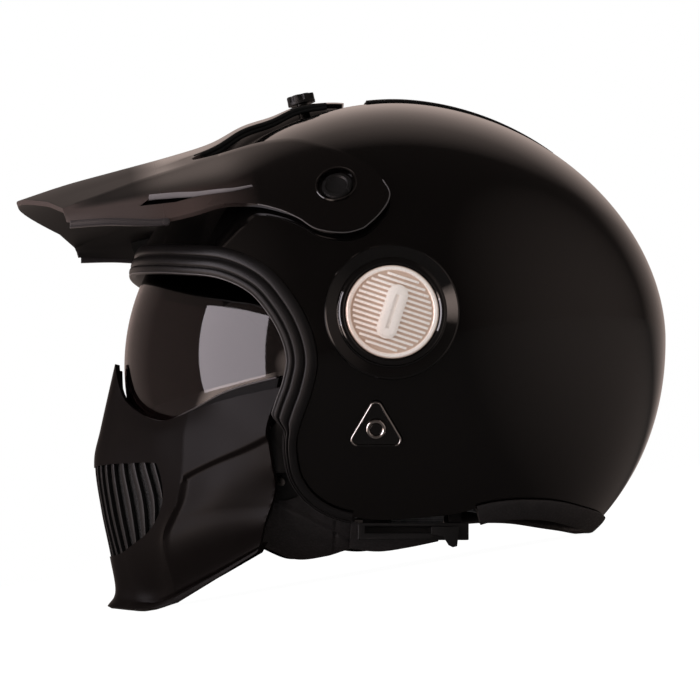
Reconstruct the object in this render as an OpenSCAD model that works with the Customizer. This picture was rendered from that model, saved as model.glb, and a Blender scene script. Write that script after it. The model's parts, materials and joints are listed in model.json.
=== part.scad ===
// Open-face motorcycle helmet with a screwed-on peak, a drop-down sun visor and a slide-on face mask.
// Millimetres. The helmet faces -Y and the wearer's left is +X. The outlines are drawn about the ear
// centre, with the head level, and stand() then sets the helmet down on its chin lip and its nape.

/* [Shell] */
// Overall width of the outer shell
shell_w = 248; // [240:1:258]
// Reach of the shell in front of the ear centre
shell_front = 142; // [138:1:146]
// Reach of the shell behind the ear centre
shell_back = 141; // [134:1:150]
// Height of the crown above the ear centre
shell_up = 122.5; // [119:0.5:127]
// Depth of the shell's outline below the ear centre
shell_down = 137.5; // [134:0.5:141]
// Wall of the outer shell
shell_wall = 3.5; // [2.5:0.25:4]

/* [Liner and pads] */
// Half width of the head cavity in the foam liner
head_half = 86; // [80:1:90]
// Height of the head cavity above the ear centre
head_up = 82; // [76:1:86]
// Thickness of the crown pad at the middle of a channel
crown_pad_t = 8; // [5:0.5:11]
// Thickness of a cheek pad at its crown
cheek_pad_t = 21; // [14:1:26]
// Thickness of the roll around the nape
neck_roll_t = 13; // [9:1:15]

/* [Peak] */
// Thickness of the peak's plate
peak_t = 2.6; // [2:0.2:3.2]
// Gap between the shell and the underside of the peak's arms
peak_gap = 2.4; // [2:0.2:3.4]
// Radius of the screw recesses in the arms
cup_r = 9.3; // [8:0.1:11]
// Radius of the peak screws' shanks
peak_screw_r = 3; // [2.5:0.1:3.5]
// Radius of the crown thumb screw's head
knob_r = 7.2; // [6:0.1:9]
// Width of the strip along the crown
strip_w = 30; // [20:1:40]

/* [Sun visor] */
// How much further forward the visor reaches than the brow's edge does from its pivots
visor_past = 7.9; // [5:0.1:8.9]
// Thickness of the visor
visor_t = 2.2; // [1.6:0.2:3]
// Radius of the visor's pivot pins
visor_pin_r = 3; // [2.5:0.1:4]
// Travel of the visor's lever along its rail
lever_travel = 36; // [28:1:38]

/* [Face mask] */
// Wall of the mask
mask_t = 2.5; // [2:0.1:3]
// Bars in the breathing grille
bar_count = 16; // [10:2:20]

/* [Side caps and latches] */
// Radius of the black pivot bezel
bezel_r = 32.5; // [29:0.5:35]
// Radius of the gold cap
cap_r = 22.3; // [18:0.1:24]
// Side length of the latch's triangle
latch_side = 25; // [22:0.5:28]
// Radius of the chrome collar
collar_r = 4.75; // [4.2:0.05:5.5]
// Radius of the round push button
button_r = 3.1; // [2.5:0.1:3.4]
// Travel of the push button
button_travel = 2; // [1:0.25:2.5]

/* [Trim] */
// Width of the rubber trim around the face opening
trim_w = 15; // [12:0.5:17]
// Depth of the trim around the nape
nape_trim_w = 11; // [8:0.5:13]

/* [Strap] */
// Width of the chin strap
strap_w = 25; // [20:1:28]
// Thickness of the strap's webbing
strap_t = 1.8; // [1.2:0.2:2.4]

/* [Hidden] */

// Fit between solids that lie against each other
seat = 0.3;
// Running clearance of a pin in its bore
running = 0.05;
// Room between two curved layers whose flat facets don't lie alike
facet_gap = 1.2;
// Room between the mask's shell and the layers behind it
layer_gap = 0.7;

// Half reaches of a rounded body: front, back, up, down and half width
shell_form = [shell_front, shell_back, shell_up, shell_down, shell_w / 2];
head_form = [108, 106, head_up, 190, head_half];
// How square the bodies are in the side view, above and below the ear centre, and across
side_power = [1.89, 2.1];
cross_power = 2.25;
// Reaches of the shell on which the outlines below were drawn; fit() stretches them to the shell in use
drawn_on = [142, 141, 122.5, 137.5, 124];

function fit(p) = [
    p.x * shell_form[4] / drawn_on[4],
    p.y * (p.y < 0 ? shell_form[0] / drawn_on[0] : shell_form[1] / drawn_on[1]),
    p.z * (p.z > 0 ? shell_form[2] / drawn_on[2] : shell_form[3] / drawn_on[3])
];
function mix(a, b, t) = a + (b - a) * t;
function unit(v) = v / norm(v);
function flip(p) = [-p.x, p.y, p.z];
function ease(t) = let (u = min(1, max(0, t))) u * u * (3 - 2 * u);

// Point of a smooth curve through the points p, at t from 0 to the number of its spans
function curve(p, t) =
    let (
        n = len(p) - 1, i = min(floor(t), n - 1), f = t - i,
        a = i == 0 ? 2 * p[0] - p[1] : p[i - 1],
        b = p[i], c = p[i + 1],
        d = i + 2 > n ? 2 * p[n] - p[n - 1] : p[i + 2]
    )
    b + f / 2 * ((c - a) + f * ((2 * a - 5 * b + 4 * c - d) + f * (3 * (b - c) + d - a)));

// Side outline of a rounded body in the direction (c, s), drawn in by cut
function outline_r(form, c, s, cut) =
    let (a = (c > 0 ? form[1] : form[0]) - cut, b = (s > 0 ? form[2] : form[3]) - cut,
         p = s > 0 ? side_power[0] : side_power[1])
    1 / pow(pow(abs(c) / a, p) + pow(abs(s) / b, p), 1 / p);
// How far out p lies, where 1 is on the surface
function level(form, p, cut) =
    let (rho = max(norm([p.y, p.z]), 0.001), r = outline_r(form, p.y / rho, p.z / rho, cut))
    pow(pow(rho / r, cross_power) + pow(abs(p.x) / (form[4] - cut), cross_power), 1 / cross_power);
// Point of the body's surface in the direction of p
function skin(form, p, cut = 0) = p / level(form, p, cut);
// Half width of the body at a point of the side view
function side_x(form, y, z, cut = 0) =
    let (rho = max(norm([y, z]), 0.001), r = outline_r(form, y / rho, z / rho, cut))
    (form[4] - cut) * pow(max(0, 1 - pow(rho / r, cross_power)), 1 / cross_power);
function on_side(form, p, cut = 0) = [side_x(form, p[0], p[1], cut), p[0], p[1]];
// Outward direction of the body's surface at p
function outward(form, p) =
    let (h = 0.5)
    unit([for (e = [[h, 0, 0], [0, h, 0], [0, 0, h]]) level(form, p + e, 0) - level(form, p - e, 0)]);

// Turns +Z to the direction v and moves the origin to p
module place(p, v) {
    translate(p) rotate([0, acos(v.z / norm(v)), atan2(v.y, v.x)]) children();
}
module both_sides(left = true) {
    if (left) children(); else mirror([1, 0, 0]) children();
}

// Closed sheet between two equal grids of points, with only the cells that keep(i, j) names
module sheet(front, back, keep = function (i, j) true) {
    rows = len(front) - 1;
    cols = len(front[0]) - 1;
    count = (rows + 1) * (cols + 1);
    function on(i, j) = i >= 0 && j >= 0 && i < rows && j < cols && keep(i, j);
    function id(i, j, side) = side * count + i * (cols + 1) + j;
    function wall(i, j, m, n) = [
        [id(i, j, 0), id(m, n, 0), id(m, n, 1)],
        [id(i, j, 0), id(m, n, 1), id(i, j, 1)]
    ];
    polyhedron(
        points = concat([for (r = front) each r], [for (r = back) each r]),
        faces = [for (i = [0 : rows - 1], j = [0 : cols - 1]) if (on(i, j)) each concat(
            [
                [id(i, j, 0), id(i + 1, j, 0), id(i + 1, j + 1, 0)],
                [id(i, j, 0), id(i + 1, j + 1, 0), id(i, j + 1, 0)],
                [id(i, j, 1), id(i + 1, j + 1, 1), id(i + 1, j, 1)],
                [id(i, j, 1), id(i, j + 1, 1), id(i + 1, j + 1, 1)]
            ],
            on(i - 1, j) ? [] : wall(i, j, i, j + 1),
            on(i + 1, j) ? [] : wall(i + 1, j + 1, i + 1, j),
            on(i, j - 1) ? [] : wall(i + 1, j, i, j),
            on(i, j + 1) ? [] : wall(i, j + 1, i + 1, j + 1)
        )]
    );
}
// Closed dome between two equal sets of rings about a pole; the first ring of each is its pole alone
module dome(outer, inner) {
    n = len(outer[1]);
    rings = len(outer) - 1;
    count = 1 + rings * n;
    function id(i, j, side) = side * count + (i == 0 ? 0 : 1 + (i - 1) * n + (j + n) % n);
    polyhedron(
        points = concat([for (r = outer) each r], [for (r = inner) each r]),
        faces = [for (j = [0 : n - 1]) each concat(
            [[id(0, 0, 0), id(1, j + 1, 0), id(1, j, 0)], [id(0, 0, 1), id(1, j, 1), id(1, j + 1, 1)]],
            [for (i = [1 : rings - 1]) each [
                [id(i, j, 0), id(i + 1, j + 1, 0), id(i + 1, j, 0)],
                [id(i, j, 0), id(i, j + 1, 0), id(i + 1, j + 1, 0)],
                [id(i, j, 1), id(i + 1, j, 1), id(i + 1, j + 1, 1)],
                [id(i, j, 1), id(i + 1, j + 1, 1), id(i, j + 1, 1)]
            ]],
            [
                [id(rings, j, 0), id(rings, j + 1, 1), id(rings, j, 1)],
                [id(rings, j, 0), id(rings, j + 1, 0), id(rings, j + 1, 1)]
            ]
        )]
    );
}
// Closed tube through rings of equal count, with flat ends
module loft(rings) {
    n = len(rings[0]);
    m = len(rings);
    polyhedron(
        points = [for (r = rings) each r],
        faces = concat(
            [[for (j = [0 : n - 1]) j]],
            [for (i = [0 : m - 2], j = [0 : n - 1]) let (k = (j + 1) % n) each [
                [i * n + j, (i + 1) * n + j, (i + 1) * n + k],
                [i * n + j, (i + 1) * n + k, i * n + k]
            ]],
            [[for (j = [n - 1 : -1 : 0]) (m - 1) * n + j]]
        )
    );
}
// Direction square to a grid of points at one of them, taken over the kept cells about it
function grid_normal(g, i, j, keep) =
    let (
        n = len(g) - 1, m = len(g[0]) - 1,
        on = function (a, b) a >= 0 && b >= 0 && a < n && b < m && keep(a, b),
        down = on(i, j) || on(i, j - 1), up = on(i - 1, j) || on(i - 1, j - 1),
        right = on(i, j) || on(i - 1, j), left = on(i, j - 1) || on(i - 1, j - 1),
        some = down || up || left || right
    )
    !some ? [0, 0, 1]
    : unit(cross(
        g[down ? i + 1 : i][j] - g[up ? i - 1 : i][j],
        g[i][right ? j + 1 : j] - g[i][left ? j - 1 : j]
    ));
function moved_grid(g, depth, keep = function (i, j) true) =
    [for (i = [0 : len(g) - 1])
        [for (j = [0 : len(g[0]) - 1]) g[i][j] + depth * grid_normal(g, i, j, keep)]];

// Edge of the shell on the left side, from the brow round the face opening and the sides to the nape
rim_aims = [
    [0, -130, 43], [45, -124, 41], [75, -108, 38], [96, -87, 34], [108, -70, 25], [115, -59, 12],
    [118, -51, -3], [119, -48, -18], [116, -50, -32], [112, -54, -44], [108, -57, -55],
    [105, -57, -66], [101, -54, -76], [98, -46, -86], [97, -33, -93], [97, -15, -95], [99, 4, -95],
    [98, 24, -92], [96, 40, -86], [90, 58, -84], [78, 78, -86], [52, 96, -89], [26, 104, -91],
    [0, 107, -92]
];
rim_spans = len(rim_aims) - 1;
// The spoke directions run round from the brow, down the left side and back up the right side
function rim_at(t) =
    let (p = curve(rim_aims, t))
    skin(shell_form, fit(t < 0.01 || t > rim_spans - 0.01 ? [0, p.y, p.z] : p), 0);
function rim_round(u) =
    u < 0 ? flip(rim_at(-2 * u * rim_spans))
    : u <= 0.5 ? rim_at(2 * u * rim_spans)
    : flip(rim_at(2 * abs(1 - u) * rim_spans));
// The shell's grid is drawn about a pole high at the back, from which the whole edge can be seen
pole = [0, 0.7, 0.7];
spokes = 64;
rings = 12;
// Direction on the arc from the pole to the rim, short of it by inset
function spoke(u, t, inset) =
    let (
        p = rim_round(u), a = unit(p), c = acos(a * pole / norm(pole)),
        w = c * t * (1 - inset / (norm(p) * c * PI / 180))
    )
    (sin(c - w) * unit(pole) + sin(w) * a) / sin(c);
function shell_grid(form, cut, inset, n = spokes, m = rings) = concat(
    [[skin(form, pole, cut)]],
    [for (i = [1 : m]) [for (j = [0 : n - 1]) skin(form, spoke(j / n, i / m, inset), cut)]]
);

// Places on the left side of the shell, in the side view
peak_axis = fit([0, -34.3, 65.4]);
bezel_at = fit([0, -9.5, 4.6]);
latch_at = fit([0, -16.7, -51]);
peak_screw_at = on_side(shell_form, [peak_axis.y, peak_axis.z]);
peak_screw_v = outward(shell_form, peak_screw_at);
latch_point = on_side(shell_form, [latch_at.y, latch_at.z]);
latch_v = outward(shell_form, latch_point);
bezel_x = side_x(shell_form, bezel_at.y, bezel_at.z);
bezel_hole_r = bezel_r - 2.5;
cap_pocket_r = cap_r + 0.7;
// How deep the screws reach in from the shell's surface, and the latch with its spring pressed
screw_depth = 9;
latch_depth = 9 + button_travel;

module outer_shell() {
    color([0.05, 0.04, 0.04])
    difference() {
        dome(shell_grid(shell_form, 0, 0), shell_grid(shell_form, shell_wall, 0));
        for (left = [true, false]) both_sides(left) {
            translate([bezel_x, bezel_at.y, bezel_at.z]) rotate([0, 90, 0])
                cylinder(r = bezel_hole_r + seat, h = 40, center = true, $fn = 64);
            place(peak_screw_at, peak_screw_v)
                cylinder(r = peak_screw_r + running, h = 24, center = true, $fn = 32);
            place(latch_point, latch_v) linear_extrude(24, center = true) latch_outline(seat);
        }
        place(crown_screw_at, crown_screw_v)
            cylinder(r = peak_screw_r + running, h = 24, center = true, $fn = 32);
    }
}

// Visor: a band turned about an axis through both pivots
visor_pivot = fit([0, -28, -13.6]);
visor_r = visor_pivot.y - rim_at(0).y + visor_past;
visor_half = 110 * shell_form[4] / drawn_on[4];
visor_power = 1.6;
visor_low = -20;
visor_high = 36;
visor_travel = 50;
visor_root_r = 9;
function visor_x(r, grow) =
    (visor_half + grow) * pow(max(0, 1 - pow(r / (visor_r + grow), visor_power)), 1 / visor_power);
// Angle about the pivots, from straight ahead upwards
function visor_angle(p) = atan2(p.z - visor_pivot.z, visor_pivot.y - p.y);
function visor_level(p, grow) =
    let (r = norm([p.y - visor_pivot.y, p.z - visor_pivot.z]))
    pow(r / (visor_r + grow), visor_power) + pow(abs(p.x) / (visor_half + grow), visor_power);
// Largest share s of the point p that still lies inside the turned visor
function inside_visor(p, grow, low = 0.3, high = 1, n = 14) =
    n == 0 ? low
    : let (s = (low + high) / 2)
      visor_level(p * s, grow) < 1 ? inside_visor(p, grow, s, high, n - 1)
      : inside_visor(p, grow, low, s, n - 1);

// The foam is drawn in under the visor's sweep, so that the visor has a pocket to rise into
liner_inset = 11;
pocket_clear = -visor_t - 5.4;
function liner_point(d) =
    let (
        p = skin(shell_form, d, shell_wall + facet_gap),
        q = p * inside_visor(p, pocket_clear),
        turn = visor_angle(p),
        r = norm([p.y - visor_pivot.y, p.z - visor_pivot.z]),
        open = max(
            turn > -60 && turn < 150 ? 1 - ease((turn - visor_high - visor_travel - 5) / 14) : 0,
            1 - ease((r - 22) / 8)
        )
    )
    mix(p, q, open);
liner_outer = concat(
    [[liner_point(pole)]],
    [for (i = [1 : rings])
        [for (j = [0 : spokes - 1]) liner_point(spoke(j / spokes, i / rings, liner_inset))]]
);
module foam_liner() {
    color([0.16, 0.16, 0.17])
    difference() {
        dome(liner_outer, shell_grid(head_form, 0, liner_inset));
        for (left = [true, false]) both_sides(left) {
            place(peak_screw_at, peak_screw_v)
                cylinder(r = peak_screw_r + 1, h = 2 * screw_depth + 2, center = true, $fn = 24);
            place(latch_point, latch_v)
                cylinder(r = collar_r + 1, h = 2 * (latch_depth + seat), center = true, $fn = 24);
            translate([strap_top.x - strap_slot, strap_y - strap_w / 2 - 1, strap_top.z - 40])
                cube([40, strap_w + 2, 43]);
        }
        place(crown_screw_at, crown_screw_v)
            cylinder(r = peak_screw_r + 1, h = 2 * screw_depth + 2, center = true, $fn = 24);
    }
}

// Crown pad: a dome inside the liner, with sewn channels running from front to back
pad_rings = 9;
pad_spokes = 32;
pad_spread = 62;
pad_channels = 5;
function pad_dir(i, j) =
    let (a = 360 * j / pad_spokes, c = pad_spread * i / pad_rings)
    [sin(c) * sin(a), -sin(c) * cos(a) * 1.15, cos(c)];
function pad_t(i, j) =
    let (d = pad_dir(i, j), edge = sqrt(max(0, 1 - pow(i / pad_rings, 6))))
    2 + (crown_pad_t - 2) * edge * (0.72 + 0.28 * abs(cos(180 * pad_channels * d.x / 1.8)));
function pad_grid(side) = concat(
    [[skin(head_form, [0, 0, 1], facet_gap + (side == 0 ? 0 : crown_pad_t))]],
    [for (i = [1 : pad_rings]) [for (j = [0 : pad_spokes - 1])
        skin(head_form, pad_dir(i, j), facet_gap + (side == 0 ? 0 : pad_t(i, j)))]]
);
module crown_pad() {
    color([0.1, 0.1, 0.11]) dome(pad_grid(0), pad_grid(1));
}

// Cheek pad: a crowned cushion on the liner's inner wall, its face drawn in towards its edges
pad_front = -62;
pad_back = 34;
pad_low = -92;
pad_top = -22;
cheek_cells = [12, 10];
// Height of a cushion across its width, from 0 at its edges to 1
function cushion(s) = sqrt(max(0, 1 - pow(abs(2 * s - 1), 3.5)));
function cheek_point(i, j, side) =
    let (
        s = j / cheek_cells.y, t = i / cheek_cells.x,
        top = pad_top - 12 * pow(2 * s - 1, 4), low = pad_low + 8 * pow(2 * s - 1, 4),
        y = mix(pad_front, pad_back, s), z = mix(top, low, t),
        crown = cushion(s) * cushion(t),
        p = fit([0, y, z]),
        deep = side == 0 ? facet_gap : 4 + (cheek_pad_t - 4) * crown
    )
    on_side(head_form, [p.y, p.z], 0) - [deep, 0, 0];
module cheek_pad(left) {
    both_sides(left) sheet(
        [for (i = [0 : cheek_cells.x]) [for (j = [0 : cheek_cells.y]) cheek_point(i, cheek_cells.y - j, 0)]],
        [for (i = [0 : cheek_cells.x]) [for (j = [0 : cheek_cells.y]) cheek_point(i, cheek_cells.y - j, 1)]]
    );
}
module cheek_pad_left() { color([0.12, 0.12, 0.13]) cheek_pad(true); }
module cheek_pad_right() { color([0.12, 0.12, 0.13]) cheek_pad(false); }

// Frame at a place on the rim: its point, the way off the shell's edge, the way out of the surface
function rim_frame(u) =
    let (
        p = rim_round(u), q = rim_round(u + 0.003), v = rim_round(u - 0.003),
        out = outward(shell_form, p), along = unit(q - v), off = unit(cross(along, out))
    )
    [p, off * pole < 0 ? off : -off, out];
// The shell's own spokes between two places on the rim, so that trim and shell bend at the same places
function rim_stops(from, to) =
    concat([from], [for (j = [floor(from * spokes) + 1 : ceil(to * spokes) - 1]) j / spokes], [to]);
function rim_ring(u, profile, shrink = 1) =
    let (f = rim_frame(u))
    [for (q = profile) f[0] + f[1] * (q[0] > 0 ? q[0] * shrink : q[0]) + f[2] * q[1]];

// Rubber trim round the face opening: beads outside, a channel for the shell's edge, a lip inside
trim_over = 3;
// Room between a trim's channel and the shell's two faces
rim_seat = 0.6;
trim_reach = trim_w - trim_over;
trim_profile = [
    [-trim_over, rim_seat], [-trim_over + 0.4, 1.7], [0, 2.3], [2.6, 2.1], [3.6, 0.9], [4.6, 1.5],
    [trim_reach * 0.6, 1.6], [trim_reach * 0.72, 0.4], [trim_reach * 0.8, 0.9],
    [trim_reach, -0.6], [trim_reach, -2.6], [trim_reach * 0.85, -3.6],
    [0.5, -shell_wall - 1.3], [-1.6, -shell_wall - 1.3], [-1.6, -shell_wall - rim_seat],
    [seat, -shell_wall - rim_seat], [seat, rim_seat]
];
trim_end = 0.5 * 14.35 / rim_spans;
// Past the mask's brackets only the bead on the shell's edge goes on
function trim_shrink(u) = mix(1, 0.32, ease((abs(u) - 0.5 * 9.3 / rim_spans) / 0.012));
module face_trim() {
    color([0.07, 0.07, 0.07])
    loft([for (u = rim_stops(-trim_end, trim_end)) rim_ring(u, trim_profile, trim_shrink(u))]);
}

// Trim round the nape, below the shell's edge
nape_profile = [
    [-1.5, rim_seat], [-1.2, 1.6], [1.5, 2], [nape_trim_w - 1.5, 1.2], [nape_trim_w, -0.6],
    [nape_trim_w - 0.6, -3.2], [3, -shell_wall - 2.2], [-2.5, -shell_wall - 2],
    [-2.5, -shell_wall - rim_seat], [seat, -shell_wall - rim_seat], [seat, rim_seat]
];
nape_start = 0.5 * 17.6 / rim_spans;
nape_loft = [for (u = rim_stops(nape_start, 1 - nape_start)) rim_ring(u, nape_profile)];
module nape_trim() {
    color([0.13, 0.12, 0.12])
    loft(nape_loft);
}

// Soft roll inside the nape, below the liner
roll_sides = 12;
roll_rings = 30;
roll_start = 0.5 * 18.2 / rim_spans;
function roll_ring(u) =
    let (
        f = rim_frame(u), fold = 1 + 0.07 * sin(360 * 9 * u),
        mid = f[0] - f[2] * (shell_wall + 4 + neck_roll_t / 2) + f[1] * 3.5
    )
    [for (k = [0 : roll_sides - 1]) let (a = 360 * k / roll_sides)
        mid + f[2] * cos(a) * neck_roll_t / 2 + f[1] * sin(a) * 9.5 * fold];
module neck_roll() {
    color([0.1, 0.1, 0.11])
    loft([for (i = [0 : roll_rings]) roll_ring(mix(roll_start, 1 - roll_start, i / roll_rings))]);
}

// Lower cover: padded leather-cloth apron under the edge of the shell, from the mask back to the lever
cover_cut = shell_wall + 1.6;
cover_t = 4;
cover_top = [[-77, -89], [-66, -88.5], [-56, -87], [-46, -80], [-35, -85], [-25, -88]];
cover_low = [[-77, -103], [-66, -108], [-52, -113.5], [-38, -112], [-30, -109.5], [-25, -108]];
cover_cells = [5, 12];
function cover_point(i, j, cut) =
    let (
        s = (len(cover_top) - 1) * j / cover_cells.y,
        q = mix(curve(cover_low, s), curve(cover_top, s), i / cover_cells.x),
        p = fit([0, q[0], q[1]])
    )
    on_side(shell_form, [p.y, p.z], cut);
module lower_cover(left) {
    both_sides(left) sheet(
        [for (i = [0 : cover_cells.x]) [for (j = [0 : cover_cells.y]) cover_point(i, j, cover_cut)]],
        [for (i = [0 : cover_cells.x])
            [for (j = [0 : cover_cells.y]) cover_point(i, j, cover_cut + cover_t)]]
    );
}
module lower_cover_left() { color([0.08, 0.09, 0.11]) lower_cover(true); }
module lower_cover_right() { color([0.08, 0.09, 0.11]) lower_cover(false); }

// Strip along the crown, behind the peak's tail
strip_from = -14;
strip_to = 84;
strip_t = 2;
strip_cells = [14, 6];
function strip_point(i, j, cut) =
    let (
        s = i / strip_cells.x, y = mix(strip_from, strip_to, s),
        taper = 1 - 0.45 * s, x = strip_w / 2 * taper * (2 * j / strip_cells.y - 1),
        z = sqrt(max(0, shell_up * shell_up * (1 - y * y / (shell_back * shell_back))))
    )
    skin(shell_form, [x, y, z], cut);
module crown_strip() {
    color([0.09, 0.09, 0.09])
    sheet(
        [for (i = [0 : strip_cells.x]) [for (j = [0 : strip_cells.y]) strip_point(i, j, -strip_t)]],
        [for (i = [0 : strip_cells.x]) [for (j = [0 : strip_cells.y]) strip_point(i, j, -seat)]]
    );
}

// Peak: rails from the front edge backwards. The lower edge, the middle of the side, the crease along
// the top of the side, the edge of the tail, and the centre line
peak_low = [
    [86, -166, 51], [91, -146, 52], [95, -121, 51.5], [97, -106, 54.5], [98, -91, 59],
    [100, -77, 59.5], [105, -64, 56], [110, -54, 51], [115, -45, 45], [118, -31, 43], [118, -18, 47]
];
peak_mid = [
    [86, -167, 54.5], [87, -148, 59], [87, -125, 64], [85, -106, 69], [84, -90, 73.5],
    [88, -74, 76], [94, -60, 76], [100, -47, 72], [104, -34, 66], [108, -20, 60], [112, -10, 60.5]
];
peak_crease = [
    [84, -168, 58], [78, -149, 66], [70, -128, 75], [62, -107, 83], [58, -90, 89.5],
    [66, -72, 94], [77, -55, 94.5], [91, -40, 89.5], [98, -29, 84], [104, -19, 77], [109, -12, 70]
];
tail_edge = [
    [63, -176, 63.5], [58, -156, 71], [53, -134, 79], [52, -110, 87], [43, -93, 95],
    [33, -79, 105], [24, -64, 111.5], [17, -48, 119.5], [13, -27, 121.9], [10, -12, 118], [8, -4, 118]
];
peak_centre = [
    [0, -195, 70], [0, -171, 78.5], [0, -145, 86], [0, -118, 93.5], [0, -96, 101],
    [0, -79, 110.5], [0, -64, 116], [0, -48, 122.4], [0, -27, 124.1], [0, -12, 120], [0, -4, 120]
];
peak_step = 2;
arm_from = 6;
window_from = 3.5;
tail_to = 8;
side_cells = 4;
plate_cells = 2;
tail_cells = 3;
// A point of an arm is laid on the shell from arm_from on, and comes down to it over two spans
function arm_laid(p, s) =
    let (q = on_side(shell_form, [p.y, p.z], -(peak_gap + peak_t)))
    mix(p, q, ease((s - arm_from + 2) / 2));
// Way from the tail's edge to its centre line, level where it gets there
function crowned(edge, centre, t) =
    let (bend = 1 - pow(1 - t, 2))
    [mix(edge.x, centre.x, t), mix(edge.y, centre.y, bend), mix(edge.z, centre.z, bend)];
function peak_row(s) =
    let (
        low = arm_laid(fit(curve(peak_low, s)), s), mid = arm_laid(fit(curve(peak_mid, s)), s),
        crease = arm_laid(fit(curve(peak_crease, s)), s),
        edge = fit(curve(tail_edge, s)), centre = fit(curve(peak_centre, s)),
        side = [for (k = [0 : side_cells]) let (p = curve([low, mid, crease], 2 * k / side_cells))
            arm_laid(p, s)],
        top = [for (k = [1 : plate_cells + tail_cells])
            k <= plate_cells ? mix(crease, edge, k / plate_cells)
            : crowned(edge, centre, (k - plate_cells) / tail_cells)],
        half = concat(side, top),
        n = len(half) - 1
    )
    concat(half, [for (k = [n - 1 : -1 : 0]) flip(half[k])]);
peak_rows = peak_step * (len(peak_low) - 1);
peak_grid = [for (i = [0 : peak_rows]) peak_row(i / peak_step)];
half_cells = side_cells + plate_cells + tail_cells;
// The plate is open between the tail and the arms, and the tail ends behind its screw
function peak_keep(i, j) =
    let (k = j < half_cells ? j : 2 * half_cells - 1 - j, s = i / peak_step)
    k < side_cells || (k < side_cells + plate_cells ? s < window_from : s < tail_to);
// The crown screw points at the line on which the peak tilts, and the tail is bent round that line
crown_lean = -12.5;
crown_screw_v = [0, sin(crown_lean), cos(crown_lean)];
// Distance from p along v at which the shell's surface is met
function way_out(p, v, low = 0, high = 200, n = 20) =
    n == 0 ? low
    : let (t = (low + high) / 2)
      level(shell_form, p + t * v, 0) < 1 ? way_out(p, v, t, high, n - 1) : way_out(p, v, low, t, n - 1);
crown_way = way_out(peak_axis, crown_screw_v);
crown_screw_at = peak_axis + crown_way * crown_screw_v;
tail_r = norm(fit(peak_centre[7]) - peak_axis);
cup_floor = 1;
module peak_cup(r, floor_from, floor_to) {
    rotate_extrude($fn = 48) polygon([
        [peak_screw_r + 1.6, floor_from], [r + 1, floor_from], [r + 1, peak_gap + peak_t + 0.4],
        [r, peak_gap + peak_t + 0.4], [r, floor_to], [peak_screw_r + 1.6, floor_to]
    ]);
}
// Vent through each side, seen from the side
vent_outline = [for (p = [[-130, 59], [-123.5, 63], [-108, 64.6], [-116, 60.6]])
    let (q = fit([0, p[0], p[1]])) [q.y, q.z]];
// Slot in the tail, along which it slides under the thumb screw as the peak tilts
slot_half = 5;
module slot_outline() {
    hull() for (s = [-1, 1]) translate([s * slot_half, 0]) circle(r = peak_screw_r + 0.4, $fn = 24);
}
module peak() {
    keep = function (i, j) peak_keep(i, j);
    color([0.06, 0.05, 0.05])
    union() {
        difference() {
            sheet(moved_grid(peak_grid, -peak_t, keep), peak_grid, keep);
            for (left = [true, false]) both_sides(left)
                place(peak_screw_at, peak_screw_v)
                    cylinder(r = cup_r + 0.5, h = 30, center = true, $fn = 48);
            place(crown_screw_at, crown_screw_v) linear_extrude(60, center = true) slot_outline();
            rotate([90, 0, 90]) linear_extrude(4 * shell_w, center = true) polygon(vent_outline);
        }
        for (left = [true, false]) both_sides(left)
            place(peak_screw_at, peak_screw_v) peak_cup(cup_r, cup_floor, cup_floor + 1.4);
    }
}

// Side screw: broad head with a coin slot, and a shank through the shell
module peak_screw(left) {
    both_sides(left) place(peak_screw_at, peak_screw_v) difference() {
        rotate_extrude($fn = 48) polygon([
            [0, -screw_depth], [peak_screw_r, -screw_depth], [peak_screw_r, cup_floor + 1.9],
            [cup_r - 1.6, cup_floor + 1.9], [cup_r - 1.6, cup_floor + 3.4], [cup_r - 3.2, cup_floor + 4.4],
            [0, cup_floor + 4.8]
        ]);
        translate([0, 0, cup_floor + 4.6]) cube([1.6, 2 * cup_r, 2.4], center = true);
    }
}
module peak_screw_left() { color([0.1, 0.1, 0.1]) peak_screw(true); }
module peak_screw_right() { color([0.1, 0.1, 0.1]) peak_screw(false); }

// Thumb screw on the crown, with finger scallops round its head
knob_h = 4.6;
scallops = 8;
knob_gap = 0.95;
module crown_screw() {
    rise = tail_r - crown_way + knob_gap;
    color([0.09, 0.09, 0.09])
    place(crown_screw_at, crown_screw_v) difference() {
        union() {
            translate([0, 0, -screw_depth]) cylinder(r = peak_screw_r, h = screw_depth + rise + 1, $fn = 32);
            translate([0, 0, rise]) cylinder(r = knob_r, h = knob_h, $fn = 48);
        }
        for (k = [0 : scallops - 1]) rotate([0, 0, 360 * k / scallops])
            translate([knob_r + 1.2, 0, rise + 1.4]) cylinder(r = 2.1, h = knob_h, $fn = 20);
    }
}

// Lens: its band profile is turned through its span of angles about the line through both pivots
lens_points = 14;
function band_point(k, thin) =
    let (
        r = max(visor_root_r, mix(visor_root_r, visor_r, sin(90 * (1 - abs(k) / lens_points))) - thin),
        side = k < 0 ? -1 : 1
    )
    [r, k == 0 ? 0 : side * visor_x(r, -thin)];
module visor_lens() {
    color([0.16, 0.14, 0.15, 0.6])
    translate(visor_pivot) rotate([0, 0, -90]) rotate([90, 0, 0]) rotate([0, 0, visor_low])
        rotate_extrude(angle = visor_high - visor_low, $fn = 180)
            polygon(concat(
                [for (k = [-lens_points : lens_points]) band_point(k, 0)],
                [for (k = [lens_points : -1 : -lens_points]) band_point(k, visor_t)]
            ));
}

// Hub: a plate behind the lens with a boss at its root. It turns on the pin of a block on the shell
module on_pivot(left) {
    both_sides(left) translate([visor_half, visor_pivot.y, visor_pivot.z]) rotate([0, 90, 0]) children();
}
hub_r = 12;
hub_low = -visor_t - 4;
hub_plate_t = 1.7;
hub_high = -1.4;
block_r = 14;
block_low = -0.4;
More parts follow.
